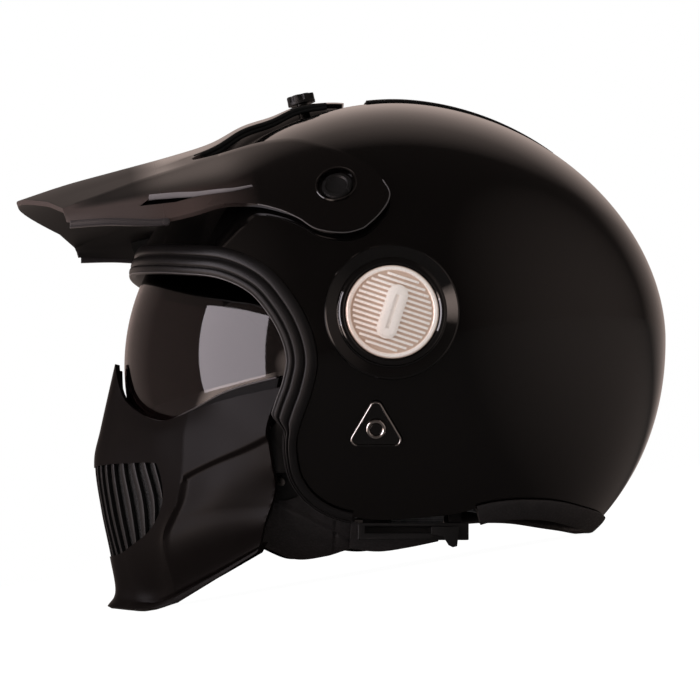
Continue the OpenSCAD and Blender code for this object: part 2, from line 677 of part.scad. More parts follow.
// The block ends just short of the shell's inner wall, at the lowest place under its face
block_high = min([for (a = [0 : 30 : 330])
    side_x(shell_form, visor_pivot.y + block_r * cos(a), visor_pivot.z + block_r * sin(a), shell_wall)])
    - facet_gap - visor_half;
module visor_hub(left) {
    on_pivot(left) difference() {
        rotate_extrude($fn = 64) polygon([
            [0, hub_low], [hub_r, hub_low], [hub_r, hub_low + hub_plate_t],
            [visor_root_r - seat, hub_low + hub_plate_t], [visor_root_r - seat, hub_high], [0, hub_high]
        ]);
        cylinder(r = visor_pin_r + running, h = 20, center = true, $fn = 32);
    }
}
module visor_hub_left() { color([0.1, 0.1, 0.1]) visor_hub(true); }
module visor_hub_right() { color([0.1, 0.1, 0.1]) visor_hub(false); }
module visor_pivot_block(left) {
    on_pivot(left) {
        translate([0, 0, hub_low]) cylinder(r = visor_pin_r, h = block_low - hub_low + 0.5, $fn = 32);
        translate([0, 0, block_low]) cylinder(r = block_r, h = block_high - block_low, $fn = 48);
    }
}
module visor_pivot_left() { color([0.55, 0.55, 0.57]) visor_pivot_block(true); }
module visor_pivot_right() { color([0.55, 0.55, 0.57]) visor_pivot_block(false); }

// Lever under the left edge of the shell, and the rail that it slides along
rail_x = [86, 95.5];
rail_y = [-24, 30];
rail_z = [-104, -95.6];
lever_at = fit([0, 18.5, 0]).y;
neck_t = 2.4;
neck_w = 5;
neck_z = -99;
// Lug of the rail, which stands against the shell's inner wall
lug_y = [[-21, -9], [21, 27]];
lug_h = 8;
lug_t = 5;
lug_x = min([for (ends = lug_y, y = ends, z = [-88, -94]) let (p = fit([0, y, z]))
    side_x(shell_form, p.y, p.z, shell_wall)]) - seat;
module side_box(x, y, z) {
    low = fit([x[0], y[0], z[0]]);
    high = fit([x[1], y[1], z[1]]);
    translate(low) cube(high - low);
}
module lever_rail() {
    slot_low = lever_at - lever_travel - neck_w / 2 - 0.5;
    face = fit([rail_x[1], 0, 0]).x;
    color([0.08, 0.08, 0.09])
    difference() {
        union() {
            side_box(rail_x, rail_y, rail_z);
            for (ends = lug_y) {
                from = fit([0, ends[0], rail_z[1] - 1]);
                wide = fit([0, ends[1], 0]).y - from.y;
                translate([lug_x - lug_t, from.y, from.z]) cube([lug_t, wide, lug_h]);
            }
        }
        translate([face - 5, slot_low, neck_z - neck_t / 2 - 0.4])
            cube([10, lever_travel + neck_w + 1, neck_t + 0.8]);
    }
}
module visor_lever() {
    face = fit([rail_x[1], 0, 0]).x;
    color([0.07, 0.07, 0.07])
    translate([face, lever_at, neck_z]) {
        translate([-4.5, -neck_w / 2, -neck_t / 2]) cube([6.5, neck_w, neck_t]);
        translate([0.5, 0, 0]) rotate([90, 0, 90]) linear_extrude(3)
            polygon([[-7, 1.5], [-7, -2], [-1, -3.5], [1.5, -7.5], [3.5, -8.5], [5.5, -8], [6.5, 1.5]]);
    }
}

// Face mask: six upright columns on the left half, each through seven levels from the lip to the top
// edge. The columns are the nose, the bridge, the end of the grille, the cheek edge, the cheek and the end
mask_columns = [
    [[0, -147, -137.5], [0, -143, -129.8], [0, -146, -111.8], [0, -151, -88],
        [0, -154.3, -64], [0, -151, -46], [0, -143.8, -12.8]],
    [[17, -137.5, -138.4], [17, -133.5, -130.2], [18, -138.5, -110.5], [18, -143.5, -87],
        [18, -146, -64.5], [18, -142.5, -48], [17, -138.5, -32]],
    [[30, -126.5, -138.5], [31, -121.5, -130], [44, -122.5, -106], [50, -121, -84],
        [48, -124.5, -65.5], [46, -125.5, -52], [46, -122.2, -44]],
    [[44, -112.5, -135.5], [46, -113, -126], [54, -118.5, -103], [64, -111.5, -84],
        [68, -109, -66], [68, -108.5, -52], [68, -106.3, -41.4]],
    [[66, -92, -122.5], [67, -92.5, -116], [76, -95, -96], [84, -91, -80],
        [86, -90, -66], [88, -88, -50], [88, -88, -35.5]],
    [[85, -72.5, -110], [87, -71, -105], [95, -68.5, -92.4], [100, -65.3, -79],
        [103, -67.5, -67], [105, -69, -50], [107, -61.7, -30.4]]
];
cheek_edge = 3;
// Point of the mask at column c, negative on the right, and level r
function mask_level(c, r) = fit(curve(mask_columns[c], r));
function mask_point(c, r) =
    let (
        a = abs(c),
        front = [for (k = [-cheek_edge : cheek_edge]) k < 0 ? flip(mask_level(-k, r)) : mask_level(k, r)],
        side = [for (k = [cheek_edge : 5]) mask_level(k, r)],
        p = a <= cheek_edge ? curve(front, cheek_edge + a) : curve(side, a - cheek_edge)
    )
    c < 0 ? flip(p) : p;
function mask_grid(c0, c1, cells, r0, r1, levels) =
    [for (i = [0 : levels]) [for (j = [0 : cells])
        mask_point(mix(c0, c1, j / cells), mix(r0, r1, i / levels))]];
// The grille fills this window of columns and levels
grille_c = 2;
grille_r = [2, 4];
mask_cells = 20;
mask_levels = 12;
all_cells = function (i, j) true;
// Layer of the mask between two depths behind its outer face
module mask_layer(grid, near, far, keep = all_cells) {
    sheet(moved_grid(grid, near, keep), moved_grid(grid, far, keep), keep);
}
module mask_shell() {
    keep = function (i, j)
        let (c = 10 * (j + 0.5) / mask_cells - 5, r = 6 * (i + 0.5) / mask_levels)
        abs(c) > grille_c || r < grille_r[0] || r > grille_r[1];
    color([0.07, 0.05, 0.05])
    mask_layer(mask_grid(-5, 5, mask_cells, 0, 6, mask_levels), 0, mask_t, keep);
}
grille_edge = 0.03;
bar_levels = 5;
module mask_grille() {
    strips = 2 * bar_count + 1;
    keep = function (i, j) i == 0 || i == bar_levels - 1 || j % 2 == 0;
    grid = mask_grid(-grille_c + grille_edge, grille_c - grille_edge, strips,
        grille_r[0] + grille_edge, grille_r[1] - grille_edge, bar_levels);
    color([0.09, 0.07, 0.07]) mask_layer(grid, 0.4, mask_t, keep);
}
module mask_filter() {
    color([0.05, 0.05, 0.05])
    mask_layer(mask_grid(-2.2, 2.2, 10, 1.87, 4.1, 5), mask_t + layer_gap, mask_t + 2.3);
}
// Levels between which the lining lies
lining_r = [0.6, 4.6];
module mask_lining() {
    cells = 12;
    levels = 10;
    keep = function (i, j)
        let (c = 6 * (j + 0.5) / cells - 3, r = mix(lining_r[0], lining_r[1], (i + 0.5) / levels))
        abs(c) > 2.4 || r < 1.8 || r > 4.2;
    color([0.1, 0.1, 0.11])
    mask_layer(mask_grid(-3, 3, cells, lining_r[0], lining_r[1], levels),
        mask_t + layer_gap, mask_t + 6.5, keep);
}
// Blade: a matt inner frame that stands above the mask's top edge at the cheeks
blade_level = [5.25, 5.5, 6, 6, 6, 6];
blade_rise = [0, 0, 0.5, 2.5, 4.5, 6];
blade_depth = 0.45;
module mask_blade() {
    cells = 20;
    grid = [for (i = [0 : 2]) [for (j = [0 : cells])
        let (c = mix(-4.9, 4.9, j / cells), a = abs(c), top = curve(blade_level, a))
        mask_point(c, top - blade_depth * (1 - i / 2)) + [0, 0, curve(blade_rise, a) * i / 2]]];
    color([0.06, 0.06, 0.06]) mask_layer(grid, mask_t + layer_gap, mask_t + layer_gap + 1.5);
}

// Tongue on the back of the mask at each side, and the bracket on the helmet that it slides into
tongue_t = 3;
tongue_h = 18;
tongue_mid = fit([88.6, -69, -60]);
tongue_len = 24;
tongue_gap = 0.4;
// What lies in front of the tongues' seat on the back of the mask
module mask_front() {
    keep = function (i, j) abs(10 * (j + 0.5) / mask_cells - 5) > 3.4;
    grid = mask_grid(-5, 5, mask_cells, 0, 6, mask_levels);
    sheet(moved_grid(grid, -20, all_cells), moved_grid(grid, mask_t + seat, all_cells), keep);
}
module mask_tongue(left) {
    grid = mask_grid(4, 4.6, 2, 3.5, 4.5, 2);
    back = moved_grid(grid, mask_t, all_cells);
    low = tongue_mid.z - tongue_h / 2;
    tall = tongue_mid.z + tongue_h / 2;
    front_y = tongue_mid.y - tongue_len / 2;
    x = [tongue_mid.x - tongue_t / 2, tongue_mid.x + tongue_t / 2];
    difference() {
        both_sides(left) {
            translate([x[0], front_y, low]) cube([tongue_t, tongue_len, tongue_h]);
            hull() polyhedron(
                points = [back[0][0], back[0][2], back[2][2], back[2][0],
                    [x[0], front_y, low + 2], [x[1] - 1, front_y + 8, low + 2],
                    [x[1] - 1, front_y + 8, tall - 2], [x[0], front_y, tall - 2]],
                faces = [[0, 1, 2, 3], [7, 6, 5, 4], [4, 5, 1, 0], [5, 6, 2, 1], [6, 7, 3, 2], [7, 4, 0, 3]]
            );
        }
        mask_front();
    }
}
module mask_tongue_left() { color([0.1, 0.1, 0.1]) mask_tongue(true); }
module mask_tongue_right() { color([0.1, 0.1, 0.1]) mask_tongue(false); }

bracket_outline_front = [[-60, -44], [-68, -52], [-71, -62], [-69, -74], [-63, -86]];
bracket_outline_back = [[-52, -46], [-50, -54], [-48, -62], [-47, -72], [-54, -84]];
bracket_cut = shell_wall + 2.8;
bracket_t = 3;
bracket_cells = [8, 4];
bracket_screw_yz = fit([0, -61, -75]);
bracket_screw_at = on_side(shell_form, [bracket_screw_yz.y, bracket_screw_yz.z], bracket_cut);
module mask_bracket(left) {
    function at(i, j, cut) =
        let (s = 4 * i / bracket_cells.x,
             q = mix(curve(bracket_outline_front, s), curve(bracket_outline_back, s), j / bracket_cells.y),
             p = fit([0, q[0], q[1]]))
        on_side(shell_form, [p.y, p.z], cut);
    function grid(cut) = [for (i = [0 : bracket_cells.x]) [for (j = [0 : bracket_cells.y]) at(i, j, cut)]];
    lug = [tongue_t + 2 * tongue_gap, 30, tongue_h + 2 * tongue_gap];
    both_sides(left) difference() {
        union() {
            sheet(grid(bracket_cut + bracket_t), grid(bracket_cut));
            translate(tongue_mid + [2, 9, 0]) cube([lug.x + 9, 13, lug.z + 4], center = true);
        }
        translate(tongue_mid) cube(lug, center = true);
        place(bracket_screw_at, outward(shell_form, bracket_screw_at))
            cylinder(r = bracket_screw_r + running, h = 20, center = true, $fn = 24);
    }
}
module mask_bracket_left() { color([0.09, 0.09, 0.09]) mask_bracket(true); }
module mask_bracket_right() { color([0.09, 0.09, 0.09]) mask_bracket(false); }
bracket_screw_r = 1.4;
module bracket_screws() {
    color([0.6, 0.6, 0.6])
    for (left = [true, false]) both_sides(left)
        place(bracket_screw_at, outward(shell_form, bracket_screw_at)) {
            translate([0, 0, -bracket_t - 2]) cylinder(r = bracket_screw_r, h = bracket_t + 2.2, $fn = 24);
            translate([0, 0, 0.1]) cylinder(r = 2.4, h = 1.2, $fn = 32);
        }
}

// Pivot bezel: a shallow dish let into the shell, with the gold cap in it
module on_bezel(left) {
    both_sides(left) translate([bezel_x, bezel_at.y, bezel_at.z]) rotate([0, 90, 0]) children();
}
bezel_depth = shell_wall - 0.1;
cap_floor = -0.8;
module pivot_bezel(left) {
    on_bezel(left) rotate_extrude($fn = 96) polygon([
        [0, -bezel_depth], [bezel_hole_r, -bezel_depth], [bezel_hole_r, -0.3], [bezel_r, -0.3],
        [bezel_r, 0.9], [bezel_r - 0.9, 1.6], [cap_pocket_r + 3.4, 0.5], [cap_pocket_r + 2.4, 2.0],
        [cap_pocket_r + 0.6, 2.3], [cap_pocket_r, 1.8], [cap_pocket_r, cap_floor], [0, cap_floor]
    ]);
}
module pivot_bezel_left() { color([0.04, 0.04, 0.04]) pivot_bezel(true); }
module pivot_bezel_right() { color([0.04, 0.04, 0.04]) pivot_bezel(false); }
// The cap's slanted ribs lie side by side, and a plain oval boss with a coin slot stands over them
rib_pitch = 2.45;
rib_w = 1.2;
rib_lean = -18;
boss_r = 5;
boss_half = 8.4;
boss_h = 3.8;
module boss_outline(r) {
    hull() for (s = [-1, 1]) translate([s * boss_half, 0]) circle(r = r, $fn = 32);
}
module pivot_cap(left) {
    face = 1.5;
    rib_reach = cap_r - 3.4;
    ribs = floor(rib_reach / rib_pitch - 0.3);
    on_bezel(left) difference() {
        union() {
            rotate_extrude($fn = 96) polygon([
                [0, cap_floor + seat], [cap_r, cap_floor + seat], [cap_r, face], [cap_r - 0.8, 2.2],
                [cap_r - 2, 2.2], [cap_r - 2.6, face], [0, face]
            ]);
            rotate([0, 0, rib_lean]) for (k = [-ribs : ribs]) let (x = k * rib_pitch)
                translate([x, 0, face])
                    cube([rib_w, 2 * sqrt(rib_reach * rib_reach - x * x), 1.2], center = true);
            rotate([0, 0, rib_lean]) linear_extrude(boss_h - 0.8) boss_outline(boss_r);
            rotate([0, 0, rib_lean]) linear_extrude(boss_h) boss_outline(boss_r - 1);
        }
        rotate([0, 0, rib_lean]) translate([0, 0, boss_h])
            cube([2 * boss_half, 1.8, 2], center = true);
    }
}
module pivot_cap_left() { color([0.78, 0.68, 0.58]) pivot_cap(true); }
module pivot_cap_right() { color([0.78, 0.68, 0.58]) pivot_cap(false); }

// Mask latch: a rounded triangle let into the shell, a chrome collar and a sprung push button
latch_corner = 3.4;
module latch_outline(grow) {
    reach = latch_side / sqrt(3) - 2 * latch_corner / sqrt(3);
    hull() for (a = [60, 180, 300]) rotate([0, 0, a]) translate([reach, 0])
        circle(r = latch_corner + grow, $fn = 32);
}
module on_latch(left) {
    both_sides(left) place(latch_point, latch_v) children();
}
plate_low = 0.2 - shell_wall;
module latch_plate(left) {
    on_latch(left) difference() {
        translate([0, 0, plate_low]) linear_extrude(1.1 - plate_low) latch_outline(0);
        translate([0, 0, 0.3]) linear_extrude(2) latch_outline(-1.1);
        cylinder(r = collar_r + running, h = 30, center = true, $fn = 48);
    }
}
module latch_plate_left() { color([0.08, 0.06, 0.05]) latch_plate(true); }
module latch_plate_right() { color([0.08, 0.06, 0.05]) latch_plate(false); }
module latch_collar(left) {
    on_latch(left) rotate_extrude($fn = 64) polygon([
        [button_r + running, plate_low], [collar_r, plate_low], [collar_r, 1.4],
        [collar_r - 0.5, 1.9], [button_r + 0.6, 1.9], [button_r + running, 1.5]
    ]);
}
module latch_collar_left() { color([0.75, 0.73, 0.72]) latch_collar(true); }
module latch_collar_right() { color([0.75, 0.73, 0.72]) latch_collar(false); }
button_flange_top = plate_low - 0.2;
button_flange_t = 1;
module latch_button(left) {
    on_latch(left) rotate_extrude($fn = 48) polygon([
        [0, button_flange_top - button_flange_t], [collar_r - 0.4, button_flange_top - button_flange_t],
        [collar_r - 0.4, button_flange_top], [button_r, button_flange_top], [button_r, 0.9],
        [button_r - 0.5, 1.3], [0, 1.1]
    ]);
}
module latch_button_left() { color([0.05, 0.04, 0.04]) latch_button(true); }
module latch_button_right() { color([0.05, 0.04, 0.04]) latch_button(false); }
module latch_spring(left) {
    on_latch(left) translate([0, 0, -latch_depth]) difference() {
        cylinder(r = 3.2, h = latch_depth + button_flange_top - button_flange_t, $fn = 32);
        cylinder(r = 2.4, h = 60, center = true, $fn = 32);
    }
}
module latch_spring_left() { color([0.7, 0.7, 0.7]) latch_spring(true); }
module latch_spring_right() { color([0.7, 0.7, 0.7]) latch_spring(false); }

// Chin strap: webbing riveted inside the shell at each side, joined under the chin through two rings
strap_y = fit([0, 6, 0]).y;
// Gap between the flat webbing and the shell's rounded inner wall
strap_gap = 2.3;
strap_top = fit([0, 6, -70])
    + [side_x(shell_form, strap_y, fit([0, 0, -70]).z, shell_wall) - strap_gap - strap_t / 2, 0, 0];
strap_slot = 11;
strap_low = -101;
function strap_ring(p, v) =
    let (n = unit([-v[1], v[0]]), h = strap_t / 2)
    [for (q = [[-1, -1], [1, -1], [1, 1], [-1, 1]])
        [p[0] + n[0] * q[1] * h, strap_y + q[0] * strap_w / 2, p[1] + n[1] * q[1] * h]];
module webbing(path) {
    n = len(path) - 1;
    loft([for (i = [0 : n]) strap_ring(path[i], path[min(i + 1, n)] - path[max(i - 1, 0)])]);
}
function inside_shell(z) =
    let (q = fit([0, 0, z]).z) [side_x(shell_form, strap_y, q, shell_wall) - strap_gap - strap_t / 2, q];
strap_path = concat(
    [for (z = [-70, -76, -82]) inside_shell(z)],
    [for (q = [[93.5, -88.5], [87, -92.6], [79, -96.5], [66, -99.4], [50, strap_low], [22, strap_low]])
        let (p = fit([q[0], 0, q[1]])) [p.x, p.z]]
);
rivet_r = 2;
rivet_out = strap_gap - 0.9;
rivet_at = [strap_path[1].x, strap_y, strap_path[1].y];
// Square to the webbing where the rivet goes through it
rivet_v = let (v = strap_path[2] - strap_path[0]) unit([-v.y, 0, v.x]);
module on_rivet() {
    place(rivet_at, rivet_v) children();
}
module strap(path) {
    difference() {
        webbing(path);
        on_rivet() cylinder(r = rivet_r + running, h = 12, center = true, $fn = 24);
    }
}
module strap_left() { color([0.08, 0.08, 0.08]) strap(strap_path); }
module strap_right() {
    color([0.08, 0.08, 0.08])
    mirror([1, 0, 0]) strap(concat(strap_path, [[8, strap_path[8][1]], [-8, strap_path[8][1]]]));
}
module strap_rivets() {
    color([0.6, 0.6, 0.6])
    for (left = [true, false]) both_sides(left) on_rivet() rotate_extrude($fn = 32) polygon([
        [0, -strap_t / 2 - 2], [4, -strap_t / 2 - 1.6], [4.5, -strap_t / 2 - seat],
        [rivet_r, -strap_t / 2 - seat], [rivet_r, strap_t / 2 + rivet_out], [0, strap_t / 2 + rivet_out]
    ]);
}
ring_bar = 2.2;
ring_low = strap_path[8][1] + strap_t / 2 + seat + ring_bar / 2;
module strap_rings() {
    color([0.7, 0.7, 0.7])
    for (k = [0, 1])
        translate([12 + 3 * k, strap_y, ring_low + (ring_bar + seat) * k])
            difference() {
                linear_extrude(ring_bar, center = true) ring_outline(7);
                linear_extrude(2 * ring_bar, center = true) ring_outline(4.6);
            }
}
module ring_outline(r) {
    hull() for (s = [-1, 1]) translate([0, s * 9]) circle(r = r, $fn = 32);
}

// The helmet rests on the mask's lip and on the nape trim, pitched back until both are level there
rough_pitch = 9;
function turned_y(p, tilt) = p.y * cos(tilt) + p.z * sin(tilt);
function turned_z(p, tilt) = p.z * cos(tilt) - p.y * sin(tilt);
function lowest(points, tilt) =
    let (z = [for (p = points) turned_z(p, tilt)], k = search(min(z), z)[0]) points[k];
lip_rows = mask_grid(-5, 5, mask_cells, 0, 1, 2);
rest_front = lowest(concat(lip_rows[0], moved_grid(lip_rows, mask_t)[0]), rough_pitch);
rest_rear = lowest([for (r = nape_loft) each r], rough_pitch);
pitch = atan2(rest_rear.z - rest_front.z, rest_rear.y - rest_front.y);
flat_cut = 0.6;
rest_level = turned_z(rest_front, pitch) + flat_cut;
// Furthest reach ahead and behind, once the helmet is set down
tip_rows = [peak_grid[0], peak_grid[1]];
reach_front = min(
    turned_y(tip_rows[0][half_cells], pitch),
    turned_y(moved_grid(tip_rows, -peak_t)[0][half_cells], pitch)
);
reach_back = max([for (a = [-60 : 1 : 60])
    let (r = outline_r(shell_form, cos(a), sin(a), 0)) turned_y([0, r * cos(a), r * sin(a)], pitch)]);
module stand() {
    translate([0, -(reach_front + reach_back) / 2, -rest_level]) rotate([-pitch, 0, 0]) children();
}
module flat_below() {
    difference() {
        children();
        rotate([pitch, 0, 0]) translate([0, 0, rest_level - 50]) cube([600, 600, 100], center = true);
    }
}

// Where the joints' lines lie once the helmet stands
function turned(v) = [v.x, turned_y(v, pitch), turned_z(v, pitch)];
function on_stand(p) = turned(p) - [0, (reach_front + reach_back) / 2, rest_level];
echo(pitch = pitch);
echo(peak_axis = on_stand(peak_axis));
echo(visor_pivot = on_stand(visor_pivot));
echo(forward = turned([0, -1, 0]));
echo(latch_v = turned(latch_v), latch_at = on_stand(latch_point));

stand() outer_shell();
stand() foam_liner();
stand() crown_pad();
stand() cheek_pad_left();
stand() cheek_pad_right();
stand() neck_roll();
stand() face_trim();
stand() flat_below() nape_trim();
stand() lower_cover_left();
stand() lower_cover_right();
stand() crown_strip();
stand() peak();
stand() peak_screw_left();
stand() peak_screw_right();
stand() crown_screw();
stand() visor_lens();
stand() visor_hub_left();
stand() visor_hub_right();
stand() visor_pivot_left();
stand() visor_pivot_right();
stand() visor_lever();
stand() lever_rail();
stand() flat_below() mask_shell();
stand() mask_grille();
stand() mask_filter();
stand() mask_blade();
stand() mask_lining();
stand() mask_tongue_left();
stand() mask_tongue_right();
stand() mask_bracket_left();
stand() mask_bracket_right();
stand() bracket_screws();
stand() pivot_bezel_left();
stand() pivot_bezel_right();
stand() pivot_cap_left();
stand() pivot_cap_right();
stand() latch_plate_left();
stand() latch_plate_right();
stand() latch_collar_left();
stand() latch_collar_right();
stand() latch_button_left();
stand() latch_button_right();
stand() latch_spring_left();
stand() latch_spring_right();
stand() strap_left();
stand() strap_right();
stand() strap_rivets();
stand() strap_rings();
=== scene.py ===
# Modular motorcycle helmet: gloss shell, screwed-on peak, drop-down sun visor and slide-on face mask.
# The forms are worked out in millimetres about the ear centre, with the head level, facing -Y and the
# wearer's left on +X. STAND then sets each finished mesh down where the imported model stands, in metres.
import json
import math

import bpy
from mathutils import Matrix, Vector

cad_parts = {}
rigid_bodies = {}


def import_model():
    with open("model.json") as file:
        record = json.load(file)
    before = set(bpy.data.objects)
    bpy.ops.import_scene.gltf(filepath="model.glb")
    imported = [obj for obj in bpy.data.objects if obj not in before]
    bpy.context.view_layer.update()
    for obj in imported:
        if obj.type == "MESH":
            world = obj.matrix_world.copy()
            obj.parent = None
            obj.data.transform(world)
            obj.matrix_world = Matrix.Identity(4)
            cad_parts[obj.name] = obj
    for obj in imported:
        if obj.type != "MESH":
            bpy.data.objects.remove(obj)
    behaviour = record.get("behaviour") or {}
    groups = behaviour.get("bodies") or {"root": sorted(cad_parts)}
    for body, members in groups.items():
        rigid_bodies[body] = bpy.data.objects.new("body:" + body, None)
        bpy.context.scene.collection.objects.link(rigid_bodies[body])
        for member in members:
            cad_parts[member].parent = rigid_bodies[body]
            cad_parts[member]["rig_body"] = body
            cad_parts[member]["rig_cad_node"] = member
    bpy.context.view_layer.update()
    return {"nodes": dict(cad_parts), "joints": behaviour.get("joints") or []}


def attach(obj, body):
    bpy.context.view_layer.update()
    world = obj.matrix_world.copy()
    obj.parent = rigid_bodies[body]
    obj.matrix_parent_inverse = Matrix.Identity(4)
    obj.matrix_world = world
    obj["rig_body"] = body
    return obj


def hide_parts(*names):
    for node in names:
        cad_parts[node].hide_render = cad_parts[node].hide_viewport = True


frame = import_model()

MM = 0.001
joints = {j["name"]: j for j in frame["joints"]}
forward = Vector(joints["mask_slide"]["axis"])
TURN = Matrix(((1, 0, 0), (0, -forward.y, forward.z), (0, -forward.z, -forward.y))).to_4x4()
peak_axis = Vector((0, -34.3, 65.4))
STAND = (Matrix.Translation(Vector(joints["peak_tilt"]["pos_m"]) - TURN @ (peak_axis * MM))
         @ TURN @ Matrix.Scale(MM, 4))

# Camera, where the photograph was taken from
DISTANCE = 1.5
aim = STAND @ Vector((0, -22, -5))
back = (TURN @ Vector((0.995704, -0.060900, -0.069756))).normalized()
right = (TURN @ Vector((0, 0, 1))).cross(back).normalized()
bpy.ops.object.camera_add()
camera = bpy.context.object
camera.matrix_world = Matrix.Translation(aim + DISTANCE * back) @ Matrix(
    (right, back.cross(right), back)).transposed().to_4x4()
camera.data.lens = 148.35
camera.data.sensor_width = 36
bpy.context.scene.camera = camera
bpy.context.scene.view_settings.view_transform = "Standard"


# Shader maths
class Socket:
    """A node's output, on which arithmetic adds Math nodes."""

    def __init__(self, look, output):
        self.look = look
        self.output = output

    def math(self, operation, *values):
        return self.look.node("ShaderNodeMath", {"operation": operation}, dict(enumerate(values)))

    def __add__(self, other):
        return self.math("ADD", self, other)

    def __mul__(self, other):
        return self.math("MULTIPLY", self, other)

    __radd__ = __add__
    __rmul__ = __mul__


class Look:
    """A procedural finish, built on one shader."""

    def __init__(self, owner, kind="ShaderNodeBsdfPrincipled"):
        owner.use_nodes = True
        self.owner = owner
        self.tree = owner.node_tree
        self.tree.nodes.clear()
        self.shader = self.tree.nodes.new(kind)
        end = "World" if isinstance(owner, bpy.types.World) else "Material"
        self.end = self.tree.nodes.new("ShaderNodeOutput" + end)
        self.tree.links.new(self.shader.outputs[0], self.end.inputs["Surface"])

    def give(self, node, values):
        for key, value in values.items():
            if isinstance(value, Socket):
                self.tree.links.new(value.output, node.inputs[key])
            else:
                node.inputs[key].default_value = value

    def set(self, values):
        self.give(self.shader, values)
        return self

    def node(self, kind, settings=None, values=None, out=0):
        made = self.tree.nodes.new(kind)
        for key, value in (settings or {}).items():
            setattr(made, key, value)
        self.give(made, values or {})
        return Socket(self, made.outputs[out])

    def place(self):
        return self.node("ShaderNodeTexCoord", out="Object")

    def uv(self):
        return self.node("ShaderNodeTexCoord", out="UV")

    def stretched(self, source, scale):
        return self.node("ShaderNodeMapping", None, {"Vector": source, "Scale": scale})

    def noise(self, source, scale, detail=2.0, rough=0.5):
        return self.node("ShaderNodeTexNoise", None,
                         {"Vector": source, "Scale": scale, "Detail": detail, "Roughness": rough})

    def cells(self, source, scale):
        return self.node("ShaderNodeTexVoronoi", None, {"Vector": source, "Scale": scale})

    def bands(self, source, scale, axis, warp=0.0):
        return self.node("ShaderNodeTexWave", {"bands_direction": axis},
                         {"Vector": source, "Scale": scale, "Distortion": warp}, out="Fac")

    def along(self, axis):
        """The piece's own X, Y or Z."""
        return self.node("ShaderNodeSeparateXYZ", None, {"Vector": self.place()}, out=axis)

    def orange_peel(self):
        return self.bump(self.noise(self.place(), 520, 3, 0.5), 0.012)

    def attribute(self, name):
        return self.node("ShaderNodeAttribute", {"attribute_name": name}, out="Fac")

    def blend(self, amount, low, high):
        """Mixes two colours. Sockets 6, 7 and output 2 are the colour ones of this node."""
        return self.node("ShaderNodeMix", {"data_type": "RGBA"},
                         {"Factor": amount, 6: low, 7: high}, out=2)

    def tint(self, amount, low, high):
        return self.blend(amount, (*low, 1), (*high, 1))

    def span(self, value, low, high, to_low, to_high):
        return self.node("ShaderNodeMapRange", None, {
            "Value": value, "From Min": low, "From Max": high, "To Min": to_low, "To Max": to_high})

    def bump(self, height, strength, distance=0.001):
        made = {"Height": height, "Strength": strength, "Distance": distance}
        return self.set({"Normal": self.node("ShaderNodeBump", None, made)})


def finish_of(name, slot=None):
    """A new material, for the slot of the given name or of its own."""
    look = Look(bpy.data.materials.new(name))
    look.slot = slot or name
    return look


# Finishes
def gloss(name, low, high, rough, coat=0.2, shine=0.5):
    """Sprayed lacquer: a deep gloss with a faint orange peel and a little dust in it."""
    look = finish_of(name, "gloss_black")
    at = look.place()
    cloud = look.noise(at, 9, 4, 0.55)
    dust = look.span(look.noise(at, 900, 2, 0.6), 0.62, 0.8, 0, 1)
    look.set({"Base Color": look.tint(cloud, low, high),
              "Roughness": look.span(cloud, 0.3, 0.7, rough * 0.8, rough * 1.25) + dust * 0.12,
              "Coat Roughness": 0.03, "Coat Weight": coat, "Specular IOR Level": shine})
    return look.orange_peel()


def peak_lacquer():
    """The same lacquer, rubbed duller at the peak's front, with a painted brown sheen on its steep outer
    front facet.
    """
    look = finish_of("peak_gloss", "gloss_black")
    scuffed = look.span(look.along("Y"), -0.100, -0.082, 1, 0)
    # The base colour paints a brown sheen on the peak's steep outer front facet, where the attribute is
    # 1.
    look.set({"Base Color": look.tint(look.attribute("painted_sheen"), (0.0018, 0.0014, 0.0013),
                                      (0.044, 0.030, 0.027)),
              "Roughness": scuffed * 0.42 + 0.15,
              "Coat Roughness": 0.03, "Coat Weight": scuffed * -0.2 + 0.2})
    return look.orange_peel()


def satin(name, low, high, rough, grain=1400, depth=0.12, shine=0.35, slot="satin_black"):
    """Moulded plastic with a fine even grain, rubbed a little smoother in places."""
    look = finish_of(name, slot)
    at = look.place()
    cloud = look.noise(at, 14, 4, 0.6)
    skin_grain = look.noise(at, grain, 3, 0.6)
    look.set({"Base Color": look.tint(cloud, low, high),
              "Roughness": look.span(cloud, 0.3, 0.7, rough - 0.07, rough + 0.08),
              "Specular IOR Level": shine})
    return look.bump(skin_grain, depth)


def metal(name, low, high, rough, grain, depth, streak=(1, 1, 1)):
    """Metal with a fine blasted or drawn surface, and a slow change of tone over it."""
    look = finish_of(name)
    at = look.place()
    cloud = look.noise(at, 40, 4, 0.6)
    fine = look.noise(look.stretched(at, streak), grain, 3, 0.6)
    look.set({"Base Color": look.tint(cloud, low, high), "Metallic": 1.0,
              "Roughness": look.span(fine, 0.3, 0.7, rough - 0.06, rough + 0.08)})
    return look.bump(fine, depth)


shell_gloss = gloss("shell_gloss", (0.0009, 0.0008, 0.0008), (0.0019, 0.0015, 0.0014), 0.08)
peak_gloss = peak_lacquer()
mask_gloss = gloss("mask_gloss", (0.0020, 0.0014, 0.0013), (0.0044, 0.0030, 0.0027), 0.34, 0.0, 0.09)
bezel_gloss = gloss("bezel_gloss", (0.0010, 0.0010, 0.0010), (0.0020, 0.0018, 0.0018), 0.07, 0.7)
satin_black = satin("satin_black", (0.0030, 0.0028, 0.0028), (0.0060, 0.0055, 0.0055), 0.42)
tail_matt = satin("tail_matt", (0.0030, 0.0034, 0.0034), (0.0060, 0.0062, 0.0062), 0.6, 1800, 0.2, 0.2)
blade_black = satin("blade_black", (0.0012, 0.0011, 0.0011), (0.0024, 0.0021, 0.0021), 0.5,
                    1600, 0.1, 0.07)
trim_rubber = satin("trim_rubber", (0.0030, 0.0027, 0.0027), (0.0060, 0.0050, 0.0050), 0.38,
                    1100, 0.1, 0.22, "trim_rubber")
# A lighter grey for fine beads that stand as painted highlights along bright edges.
painted_highlight_line = satin("painted_highlight_line", (0.030, 0.027, 0.027), (0.050, 0.045, 0.045), 0.30, 1400, 0.05, 0.5)
